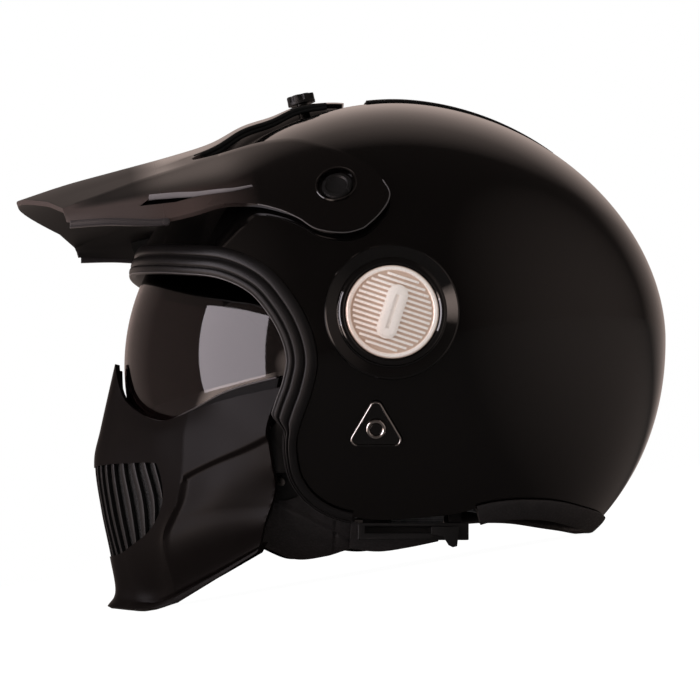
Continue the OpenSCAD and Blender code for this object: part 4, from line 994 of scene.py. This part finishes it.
# Face mask
mask_columns = [vectors(*column) for column in (
    ((0, -147, -137.5), (0, -143, -129.8), (0, -146, -111.8), (0, -151, -88), (0, -154.3, -64),
     (0, -151, -46), (0, -143.8, -12.8)),
    ((17, -137.5, -138.4), (17, -133.5, -130.2), (18, -138.5, -110.5), (18, -143.5, -87),
     (18, -146, -64.5), (18, -142.5, -48), (17, -138.5, -32)),
    ((30, -126.5, -138.5), (31, -121.5, -130), (44, -122.5, -106), (50, -121, -84), (48, -124.5, -65.5),
     (46, -125.5, -52), (46, -122.2, -44)),
    ((44, -112.5, -135.5), (46, -113, -126), (54, -118.5, -103), (64, -111.5, -84), (68, -109, -66),
     (68, -108.5, -52), (68, -106.3, -41.4)),
    ((66, -92, -122.5), (67, -92.5, -116), (76, -95, -96), (84, -91, -80), (86, -90, -66),
     (88, -88, -50), (88, -88, -35.5)),
    ((85, -72.5, -110), (87, -71, -105), (95, -68.5, -92.4), (100, -65.3, -79), (103, -67.5, -67),
     (105, -69, -50), (107, -61.7, -30.4)))]
MASK_T = 2.5
MASK_CORE = Vector((0, -40, -60))
EDGE = 3  # The last column before the mask turns back along the cheek


def mask_level(c, r):
    return curve(mask_columns[c], r)


def mask_face(c, r):
    """Point of the mask's outer face at column c, negative on the right, and level r."""
    a = abs(c)
    if a <= EDGE:
        front = [flip(mask_level(-k, r)) if k < 0 else mask_level(k, r) for k in range(-EDGE, EDGE + 1)]
        p = curve(front, EDGE + a)
    else:
        p = curve([mask_level(k, r) for k in (3, 4, 5)], a - EDGE)
    return flip(p) if c < 0 else p


def mask_out(c, r):
    h = 0.02
    across = mask_face(c + h, r) - mask_face(c - h, r)
    up = mask_face(c, min(r + h, 6)) - mask_face(c, max(r - h, 0))
    way = across.cross(up).normalized()
    return way if way.dot(mask_face(c, r) - MASK_CORE) > 0 else -way


step_line = [(3.0, 3.45), (3.1, 3.68), (3.6, 3.95), (4.45, 4.45), (5.0, 4.79)]


def recess(c, r):
    """How far the lower cheek lies behind the upper panel."""
    a = abs(c)
    line = table_curve(step_line, a)
    return 1.9 * ease((line - r) / 0.16) * ease((a - 3.0) / 0.13) * ease((r - 1.5) / 0.9)


def lip_groove(c, r):
    return 0.9 * bell(r - 0.55, 0.09) * ease((abs(c) - 1.2) / 1.2)


def mask_point(c, r, depth=0.0):
    sunk = recess(c, r) + lip_groove(c, r) + depth
    return mask_face(c, r) - sunk * mask_out(c, r)


mask = form("mask_form", (200, 120), lambda u, v: mask_point(mix(-5, 5, u), mix(0, 6, v)))
wall_of(mask, MASK_T, MASK_CORE)

window_line = vectors((0.0, 1.98), (0.9, 2.02), (1.5, 2.2), (1.8, 2.36), (2.02, 2.62), (2.16, 3.0),
                      (2.2, 3.5), (2.16, 3.9), (2.0, 4.02), (1.0, 3.96), (0.0, 3.88))


def window_edge(t):
    """Outline of the breathing window in columns and levels, t from 0 to 1 up the left half."""
    return curve(window_line, t * (len(window_line) - 1))


def window_tool():
    """A slab that follows the mask's face and fills the breathing window."""
    def at(u, v):
        low = window_edge(mix(0, 0.5, abs(2 * u - 1)))
        high = window_edge(1 - mix(0, 0.5, abs(2 * u - 1)))
        c = math.copysign(mix(low.x, high.x, v), 2 * u - 1)
        return mask_point(c, mix(low.y, high.y, v), -3)
    tool = form("window_tool", (96, 32), at)
    turn_out(tool, MASK_CORE)
    modify(tool, "SOLIDIFY", thickness=9, offset=-1)
    return tool


cut(mask, window_tool())
soften(mask, 0.5, 2, 40)
finish(mask, "mask", mask_gloss, "mask_shell", angle=34)


def window_reach(c):
    """Lowest and highest level of a bar at a column, just past the breathing window's edge."""
    edge = [window_edge(k / 399) for k in range(400)]
    levels = [p.y for p in edge if p.x >= abs(c) + 0.05]
    return levels[0] - 0.05, levels[-1] + 0.05


BARS = 18
BAR_PITCH = 0.238
BAR_HALF = 0.042
BAR_SPREAD = 1.05
BAR_SUNK, BAR_DEPTH = 0.5, 2.0


def bar_piece(k):
    """One upright bar of the grille. The bars spread a little towards the chin."""
    c_top = (k - (BARS - 1) / 2) * BAR_PITCH
    c_low = c_top * BAR_SPREAD
    low, top = window_reach(c_low)[0], window_reach(c_top)[1]

    def at(u, v):
        r = mix(low, top, v)
        c = mix(c_low, c_top, (r - 2) / 2) + (2 * u - 1) * BAR_HALF
        return mask_point(c, r, BAR_SUNK)
    bar = form("bar", (2, 24), at)
    wall_of(bar, BAR_DEPTH, MASK_CORE)
    soften(bar, 0.2, 2, 40)
    return bar


grille = joined("grille_form", *[bar_piece(k) for k in range(BARS)])
finish(grille, "mask", satin_black, "mask_grille", angle=40)


FILTER_GAP, FILTER_T = 0.7, 1.6


def filter_at(u, v):
    c, r = mix(-2.3, 2.3, u), mix(1.8, 4.15, v)
    return mask_face(c, r) - (MASK_T + FILTER_GAP) * mask_out(c, r)


filter_pad = form("filter_form", (60, 40), filter_at)
wall_of(filter_pad, FILTER_T, MASK_CORE)
soften(filter_pad, 0.4)
finish(filter_pad, "mask", filter_mat, "mask_filter")

blade_levels = [5.92, 5.9, 6, 6, 6, 6]
blade_rises = [0, 0, 0.5, 2.5, 4.5, 6]


def blade_at(u, v, side):
    """The blade's two faces. By the nose it is thick, and reaches back almost to the visor."""
    c = mix(-4.9, 4.9, u)
    top = curve(blade_levels, abs(c))
    r = top - 0.45 * (1 - v)
    face, way = mask_face(c, r), mask_out(c, r)
    near_visor = from_pivot(face) - VISOR_R - 0.8
    depth = mix(max(near_visor, 3.4), 4.7, ease(abs(c) / 1.5)) if side else mix(2.7, 3.2, ease(abs(c)))
    return face - depth * way + Vector((0, 0, max(0.0, curve(blade_rises, abs(c))) * v))


def seamed(piece):
    """Joins two facing sheets along their edges."""
    edit(piece, lambda: bpy.ops.mesh.select_all(action="DESELECT"),
         lambda: bpy.ops.mesh.select_non_manifold(),
         lambda: bpy.ops.mesh.bridge_edge_loops(),
         lambda: bpy.ops.mesh.select_all(action="SELECT"), outwards)
    return piece


def pillow(name, cells, at):
    """A closed pad between the faces at(u, v, 0) and at(u, v, 1)."""
    faces = [form(name, cells, lambda u, v, side=side: at(u, v, side)) for side in (0, 1)]
    return seamed(joined(name, *faces))


blade = pillow("blade_form", (160, 10), blade_at)
soften(blade, 0.35, 3, 50)
finish(blade, "mask", blade_black, "mask_blade")


# The grey bead along the blade's upper edge is a painted highlight line.
def blade_bead_at(u, v):
    c = mix(-4.85, 4.85, u)
    a = math.tau * v
    p = (blade_at(u * 0.99 + 0.005, 1, 0) + blade_at(u * 0.99 + 0.005, 1, 1)) / 2
    size = 0.55 * ease((abs(c) - 1.2) / 0.8)
    return p + mask_out(c, 5.9) * (0.5 + size * math.cos(a)) + Vector((0, 0, 0.1 + size * math.sin(a)))


bead = capped(form("mask_blade_highlight_bead_form", (160, 10), blade_bead_at))
finish(bead, "mask", grey_lip_and_painted_highlight, "mask_blade", angle=60)


# Trims
TRIM_END = 0.5 * 14.35 / SPANS
outer_bead = vectors(
    (-3.0, 0.6), (-2.95, 1.5), (-1.6, 2.35), (0.4, 2.55), (2.3, 2.2), (3.0, 1.1), (3.9, 1.75),
    (5.6, 2.05), (7.5, 1.7), (8.3, 0.8), (9.2, 1.35), (10.8, 1.0), (12.0, -0.3), (12.2, -1.8),
    (11.4, -3.0), (9.6, -3.7))
inner_lip = vectors((0.5, -WALL - 1.3), (-1.6, -WALL - 1.3), (-1.6, -WALL - 0.6), (0.3, -WALL - 0.6),
                    (0.3, 0.6), (-3.0, 0.6))
BEAD_STEPS = 60
trim_line = [curve(outer_bead, (len(outer_bead) - 1) * k / BEAD_STEPS) for k in range(BEAD_STEPS + 1)]
trim_line += inner_lip


NARROW_FROM = 0.5 * 9.3 / SPANS
NARROW_OVER = 0.012


def narrowed(least):
    """The trim's width along the rim: whole round the face, and a share of it low on the sides."""
    return lambda u: mix(1, least, ease((abs(u) - NARROW_FROM) / NARROW_OVER))


def along_rim(name, line, start, stop, steps, shrink=narrowed(1)):
    """A trim whose section is drawn off the shell's edge, carried along it from start to stop."""
    count = len(line) - 1
    frames = {}

    def at(u, v):
        if u not in frames:
            frames[u] = rim_frame(mix(start, stop, u)), shrink(mix(start, stop, u))
        (p, off, out), scale = frames[u]
        q = line[round(v * count)]
        return p + off * (q[0] * scale if q[0] > 0 else q[0]) + out * q[1]
    return capped(form(name, (steps, count), at))


face_trim = along_rim("face_trim_form", trim_line, -TRIM_END, TRIM_END, 420, narrowed(0.32))
finish(face_trim, "helmet", trim_rubber, "face_trim", angle=40)

# A fine bead in the painted highlight grey runs along the trim's outer edge, standing for its edge
# highlight.
FINE_BEAD = 0.42
edge_ring = [Vector((12.0 + FINE_BEAD * math.cos(a), -0.1 + FINE_BEAD * math.sin(a)))
             for a in [math.tau * k / 10 for k in range(11)]]
trim_highlight_bead = along_rim("face_trim_highlight_bead_form", edge_ring, -TRIM_END, TRIM_END, 420, narrowed(0.335))
finish(trim_highlight_bead, "helmet", painted_highlight_line, "face_trim", angle=60, slot="trim_rubber")

NAPE_START = 0.5 * 17.6 / SPANS
nape_outer = vectors((-1.5, 0.6), (-1.2, 1.6), (1.5, 2.1), (5.5, 1.9), (9.5, 1.2), (11.0, -0.6),
                     (10.6, -3.0), (7.0, -4.6), (3.0, -WALL - 2.2))
nape_inner = vectors((-2.5, -WALL - 2), (-2.5, -WALL - 0.6), (0.3, -WALL - 0.6), (0.3, 0.6),
                     (-1.5, 0.6))
nape_line = [curve(nape_outer, 8 * k / 32) for k in range(33)] + nape_inner
nape_trim = along_rim("nape_trim_form", nape_line, NAPE_START, 1 - NAPE_START, 200)
for vertex in nape_trim.data.vertices:
    stood = STAND @ vertex.co
    stood.z = max(stood.z, 0.0)
    vertex.co = STAND.inverted() @ stood
finish(nape_trim, "helmet", trim_leather, "nape_trim", angle=40)

# Liner, drawn in under the visor's sweep
LINER_INSET = 11
STRAP_GAP = 3.2
POCKET = -VISOR_T - 5.4


def inside_visor(p):
    """Largest share of the way to p that stays inside the turned visor, with room round it."""
    low, high = 0.3, 1.0
    for _ in range(14):
        s = (low + high) / 2
        turned = from_pivot(p * s) / (VISOR_R + POCKET)
        across = abs(p.x * s) / (VISOR_HALF + POCKET)
        low, high = (s, high) if turned ** VISOR_POWER + across ** VISOR_POWER < 1 else (low, s)
    return low


def liner_point(way):
    p = skin(SHELL, way, WALL + 1.2)
    turn = math.degrees(math.atan2(p.z - visor_pivot.z, visor_pivot.y - p.y))
    swept = 1 - ease((turn - 91) / 14) if -60 < turn < 150 else 0
    near_pin = 1 - ease((from_pivot(p) - 22) / 8)
    return mix(p, p * inside_visor(p), max(swept, near_pin))


def liner_at(u, v):
    """The liner's outer face for the first half of v, and its inner face on the way back."""
    way = spoke(u, min(2 * v, 2 - 2 * v), LINER_INSET)
    return liner_point(way) if v <= 0.5 else skin(HEAD, way)


# Each strap hangs in a slot in the liner, just inside the shell
strap_y = 6.0
strap_top_x = side_x(SHELL, strap_y, -70, WALL) - STRAP_GAP
liner = form("foam_liner_form", (160, 64), liner_at)
edit(liner, weld(0.01), outwards)
SCREW_ROOM = 4
SPRING_ROOM = 5.75
tools = [rod(screw_at, screw_way, SCREW_ROOM, 20), rod(latch_at, latch_way, SPRING_ROOM, 22.6),
         block((40, 27, 43), (strap_top_x + 9, strap_y, -88.5))]
cut(liner, *[mirrored(t, "far_tool") for t in tools], *tools, rod(crown_at, crown_way, SCREW_ROOM, 20))
finish(liner, "helmet", foam, "foam_liner", angle=40)


# Soft pieces
PRESSURE = 4.0
LAST_STEP = 20
VOXEL = 0.004


def puffed(piece, reach):
    """Fills a pad out by a short cloth simulation, no point of it moving further than reach."""
    piece.data.transform(STAND)
    modify(piece, "REMESH", mode="VOXEL", voxel_size=VOXEL)
    start = [v.co.copy() for v in piece.data.vertices]
    alone(piece)
    cloth = piece.modifiers.new("cloth", "CLOTH")
    cloth.settings.use_pressure = True
    cloth.settings.uniform_pressure_force = PRESSURE
    cloth.settings.effector_weights.gravity = 0
    for step in range(1, LAST_STEP + 1):
        bpy.context.scene.frame_set(step)
    bpy.ops.object.modifier_apply(modifier=cloth.name)
    bpy.context.scene.frame_set(1)
    for vertex, was in zip(piece.data.vertices, start):
        moved = vertex.co - was
        if moved.length > reach:
            vertex.co = was + moved * (reach / moved.length)
    modify(piece, "SUBSURF", levels=1, render_levels=1)
    piece.data.transform(STAND.inverted())
    return piece


def piping(name, path, radius, sides):
    """A round bead laid along a path of points."""
    last = len(path) - 1
    frames = []
    for i, p in enumerate(path):
        along = (path[min(i + 1, last)] - path[max(i - 1, 0)]).normalized()
        out = p.normalized()
        out = (out - along * out.dot(along)).normalized()
        frames.append((p, out, along.cross(out)))

    def at(u, v):
        p, out, side = frames[round(u * last)]
        a = math.tau * v
        return p + radius * (math.cos(a) * out + math.sin(a) * side)
    return capped(form(name, (last, sides), at), 0.005)


# A bead in the painted highlight grey runs along the arm's lower edge and round its end, standing for the
# highlight there
edge_path = [peak_point(mix(5.3, ends(0), k / 90), 0) for k in range(90)]
edge_path += [peak_point(ends(k / 4) - 0.02, k / 4) for k in range(60)]
peak_highlight_bead = piping("peak_highlight_bead", [p + Vector((0.12, 0, 0)) for p in edge_path], 0.30, 8)
both(peak_highlight_bead, "peak_highlight_bead", "peak", painted_highlight_line, 60, "peak")
for name, drop in (("tail_strip_a", 1.3), ("tail_strip_b", 3.9)):
    both(piping(name, strip_path(drop), 1.25, 12), name, "peak", tail_matt, 60, "peak")


# Crown pad: a lens-shaped pad on the liner, longer than wide
PAD_REACH = math.radians(62)
PAD_LENGTH = 1.15


def pad_way(ring, turn):
    a = math.tau * turn
    c = PAD_REACH * ring
    return Vector((math.sin(c) * math.sin(a), -math.sin(c) * math.cos(a) * PAD_LENGTH, math.cos(c)))


def pad_depth(ring, turn):
    """Thickness of the crown pad, with sewn channels from front to back and one across."""
    way = pad_way(ring, turn)
    edge = math.sqrt(max(0.0, 1 - ring ** 6))
    channel = abs(math.cos(math.pi * 5 * way.x / 1.8)) ** 0.6
    cross_seam = 1 - 0.35 * bell(way.y + 0.12, 0.035)
    return 2 + 6 * edge * (0.70 + 0.30 * channel) * cross_seam


PAD_GAP = 1.2


def crown_pad_at(u, v):
    ring = min(2 * v, 2 - 2 * v)
    deep = PAD_GAP + (0 if v <= 0.5 else pad_depth(ring, u))
    return skin(HEAD, pad_way(ring, u), deep)


crown_pad = form("crown_pad_form", (160, 120), crown_pad_at)
edit(crown_pad, weld(0.02), outwards)
finish(crown_pad, "helmet", lining_cloth, "crown_pad", angle=60)


def cushion(s):
    return math.sqrt(max(0.0, 1 - abs(2 * s - 1) ** 3.5))


CHEEK_FRONT, CHEEK_BACK = -62, 34
CHEEK_SEAMS = (-44, -68)


def cheek_at(u, v, side):
    y = mix(CHEEK_FRONT, CHEEK_BACK, u)
    top, low = -22 - 12 * (2 * u - 1) ** 4, -92 + 8 * (2 * u - 1) ** 4
    z = mix(top, low, v)
    deep = PAD_GAP if side == 0 else 4 + 15 * cushion(u) * cushion(v)
    return on_side(HEAD, y, z) - Vector((deep, 0, 0))


# Two sewn seams run along the cheek pad. It is simulated with its reach in metres
cheek = puffed(pillow("cheek_pad", (36, 28), cheek_at), 0.0025)
for vertex in cheek.data.vertices:
    p = vertex.co
    wall_x = side_x(HEAD, p.y, p.z) - PAD_GAP
    p.x = min(p.x, wall_x)
    ridge = sum(1.4 * bell(p.z - z, 1.5) for z in CHEEK_SEAMS)
    p.x += ridge * ease((wall_x - p.x - 6) / 6)
both(cheek, "cheek_pad", "helmet", lining_cloth, 60)

ROLL_START = 0.5 * 18.2 / SPANS
ROLL_DEEP, ROLL_OFF = 10.5, 3.5
ROLL_THICK, ROLL_HIGH = 6.2, 9.2
ROLL_FOLDS = 9


def roll_at(u, v):
    place = mix(ROLL_START, 1 - ROLL_START, u)
    p, off, out = roll_frames[round(u * ROLL_STEPS)]
    a = math.tau * v
    fold = 1 + 0.07 * math.sin(math.tau * ROLL_FOLDS * place)
    end = ease(min(u, 1 - u) * 24 + 0.25)
    middle_line = p - out * (WALL + ROLL_DEEP) + off * ROLL_OFF
    return middle_line + (out * math.cos(a) * ROLL_THICK + off * math.sin(a) * ROLL_HIGH * fold) * end


ROLL_STEPS = 120
roll_frames = [rim_frame(mix(ROLL_START, 1 - ROLL_START, k / ROLL_STEPS))
               for k in range(ROLL_STEPS + 1)]
roll = capped(form("neck_roll_form", (ROLL_STEPS, 28), roll_at))
roll = puffed(roll, 0.0012)
finish(roll, "helmet", lining_cloth, "neck_roll", angle=60)

# Lower covers: leather-cloth aprons with sewn seams
cover_top = vectors((-77, -86), (-66, -85), (-56, -84), (-46, -80), (-35, -85), (-25, -88))
cover_low = vectors((-77, -103), (-66, -108), (-52, -113.5), (-38, -112), (-30, -109.5), (-25, -108))
hem_low = [-108.2, -109.6, -107.6, -104.6]
HEM_FRONT, HEM_BACK = -27, 16
COVER_SEAM = ((-62.6, -85.6), (-22, -106.4))
SEAM_DEEP = 0.9


def off_line(y, z, a, b):
    """Distance from (y, z) to the seam through a and b."""
    along = Vector((b[0] - a[0], b[1] - a[1])).normalized()
    return abs((y - a[0]) * along.y - (z - a[1]) * along.x)


def cover_at(u, v, side):
    q = mix(curve(cover_low, 5 * u), curve(cover_top, 5 * u), v)
    full = cushion(mix(0.02, 0.98, v)) * cushion(mix(0.02, 0.98, u))
    seam = SEAM_DEEP * bell(off_line(q.x, q.y, *COVER_SEAM), 1.0)
    seam += SEAM_DEEP * bell(q.x + 34, 0.9)
    deep = WALL + (1.6 + 1.2 * (1 - full) + seam if side == 0 else 5.6 - 0.8 * (1 - full))
    return on_side(SHELL, q.x, q.y, deep)


def hem_at(u, v, side):
    y = mix(HEM_FRONT, HEM_BACK, u)
    top = mix(-95, -102.6, ease((y + 23.9) / 0.6))
    z = mix(curve(hem_low, 3 * u), top, v)
    return on_side(SHELL, y, z, 0.4 if side == 0 else 4.5)


cover = pillow("lower_cover", (90, 40), cover_at)
cover = joined("lower_cover", cover, pillow("hem", (86, 10), hem_at))
both(cover, "lower_cover", "helmet", trim_leather, 60)


# Crown strip: a low moulding with a raised rib along each edge, wider at its front
STRIP_FRONT, STRIP_BACK = -15, 84
STRIP_HALF, STRIP_SPREAD = 11, 14
STRIP_T = 1.2


def strip_at(u, v):
    y = mix(STRIP_FRONT, STRIP_BACK, u)
    x = (STRIP_HALF + STRIP_SPREAD * (1 - u ** 2.2)) * (2 * v - 1)
    z = SHELL[2] * math.sqrt(max(0.0, 1 - (y / SHELL[1]) ** 2))
    side = abs(2 * v - 1)
    high = 1.5 + 0.5 * bell(side - 0.86, 0.07) - 0.35 * bell(side - 0.68, 0.06)
    return skin(SHELL, Vector((x, y, z)), -high)


crown_strip = form("crown_strip_form", (80, 48), strip_at)
wall_of(crown_strip, STRIP_T)
soften(crown_strip, 0.35, 3)
finish(crown_strip, "helmet", tail_matt, "crown_strip")


# Mask lining: a soft ring round the breathing window
def around(t, c, low, high):
    """Point at t round a rounded rectangle in columns and levels."""
    a = math.tau * t
    x, y = [math.copysign(abs(w) ** 0.45, w) for w in (math.cos(a), math.sin(a))]
    return Vector((c * x, mix(low, high, (y + 1) / 2)))


def lining_at(u, v):
    """Section of the ring: v runs over its outer face and back over its inner one."""
    a = math.tau * v
    width = (1 - math.copysign(abs(math.cos(a)) ** 0.7, math.cos(a))) / 2
    q = mix(around(u, 2.45, 1.75, 4.2), around(u, 2.95, 0.75, 4.55), width)
    depth = 6.6 - 2.3 * math.copysign(abs(math.sin(a)) ** 0.7, math.sin(a))
    return mask_face(q.x, q.y) - depth * mask_out(q.x, q.y)


mask_lining = form("mask_lining_form", (160, 24), lining_at)
edit(mask_lining, weld(0.01), outwards)
finish(mask_lining, "mask", filter_mat, "mask_lining", angle=60)

# Straps: flat woven webbing that hangs from a rivet inside each side of the shell
STRAP_WIDTH = 25
STRAP_THICKNESS = 1.8
RIVET_HOLE = 2.05
strap_line = [(side_x(SHELL, strap_y, z, WALL) - STRAP_GAP, z) for z in (-70, -76, -82)]
strap_line += [(93.5, -88.5), (87, -92.6), (79, -96.5), (66, -99.4), (50, -101), (22, -101)]


def ribbon(name, line):
    """A strap along a line of (x, z) points."""
    points = vectors(*[(x, z, 0) for x, z in line])
    last = len(points) - 1
    over = [mix(-1, 1, k / 14) for k in range(15)]
    section = [(q, 1) for q in over] + [(1.02, 0)] + [(-q, -1) for q in over] + [(-1.02, 0), (-1, 1)]
    count = len(section) - 1

    def at(u, v):
        t = last * u
        p = curve(points, t)
        way = (curve(points, min(t + 0.02, last)) - curve(points, max(t - 0.02, 0))).normalized()
        wide, thick = section[round(v * count)]
        off = thick * STRAP_THICKNESS / 2
        return Vector((p.x - way.y * off, strap_y + wide * STRAP_WIDTH / 2, p.y + way.x * off))
    return capped(form(name, (90, count), at))


(x0, z0), (x1, z1), (x2, z2) = strap_line[:3]
strap_left = ribbon("strap_left_form", strap_line)
rivet_at = Vector((x1, strap_y, z1))
rivet_way = Vector((z0 - z2, 0, x2 - x0)).normalized()
strap_right = ribbon("strap_right_form", strap_line + [(8, -101), (-8, -101)])
strap_right.data.transform(Matrix.Diagonal((-1, 1, 1, 1)))
strap_right.data.flip_normals()
cut(strap_left, rod(rivet_at, rivet_way, RIVET_HOLE, 12, 24))
cut(strap_right, rod(flip(rivet_at), flip(rivet_way), RIVET_HOLE, 12, 24))
finish(strap_left, "helmet", strap_web, "strap_left", angle=50)
finish(strap_right, "helmet", strap_web, "strap_right", angle=50)

# Hard fittings, in the shapes of the CAD nodes, with their edges eased
for side in ("left", "right"):
    for node, body, look, width in (
            ("visor_hub_", "visor", satin_black, 0.2),
            ("visor_pivot_", "helmet", satin_black, 0.2),
            ("mask_tongue_", "mask", satin_black, 0.5),
            ("mask_bracket_", "helmet", satin_black, 0.4),
            ("pivot_cap_", "helmet", gold_metal, 0.22),
            ("latch_plate_", "helmet", bezel_gloss, 0.2),
            ("latch_collar_", "helmet", bright_chrome, 0.12),
            ("latch_button_", "button_" + side, bezel_gloss, 0.15)):
        refined(node + side, body, look, width)

# Bezel: a ring with a dished face, turned in one piece
BEZEL = [(0, -3.4), (30, -3.4), (30, -0.3), (32.5, -0.3), (32.5, 0.9), (32.1, 1.55), (31.5, 1.85),
         (26.5, 0.15), (26.0, 0.3), (25.5, 1.7), (25.0, 2.1), (23.7, 2.3), (23.0, 1.8), (23.0, -0.8),
         (0, -0.8)]
both(spun("pivot_bezel", BEZEL, bezel_at, OUT, 160), "pivot_bezel", "helmet", bezel_gloss, 25)

# "raised" is 1 on the cap's ribs and boss and 0 on the ground between them, where the gold's colour
# paints shade
GROUND, RIB = 0.0015, 0.00045
for side in ("left", "right"):
    cap = bpy.data.objects["pivot_cap_" + side + "_form"]
    face = abs((STAND @ bezel_at).x) + GROUND
    layer = cap.data.attributes.new("raised", "FLOAT", "POINT")
    for vertex, value in zip(cap.data.vertices, layer.data):
        value.value = clamped((abs(vertex.co.x) - face) / RIB)


def outline_at(u, v):
    """A fine bright bead round the latch plate's rounded triangle."""
    a, around_bead = math.tau * u, math.tau * v
    corner = 2.6 + FINE_BEAD * math.cos(around_bead)
    up = 1.05 + FINE_BEAD * math.sin(around_bead)
    return latch_edge(a, corner) + Vector((0, 0, up))


outline = form("latch_outline", (180, 10), outline_at)
edit(outline, weld(0.005), outwards)
outline.data.transform(latch_stand())
other = mirrored(outline, "latch_outline_right_form")
finish(outline, "helmet", bright_chrome, "latch_plate_left", angle=60)
finish(other, "helmet", bright_chrome, "latch_plate_right", angle=60)
refined("crown_screw", "helmet", satin_black, 0.3)
refined("visor_lever", "lever", satin_black, 0.5, 3)
refined("lever_rail", "helmet", satin_black, 0.5, 3)
refined("bracket_screws", "helmet", steel, 0.2)
refined("strap_rivets", "helmet", steel, 0.2)
refined("strap_rings", "helmet", steel, 0.6, 3)
for side in ("left", "right"):
    spring = frame["nodes"]["latch_spring_" + side]
    spring.data.materials.clear()
    spring.data.materials.append(steel.owner)
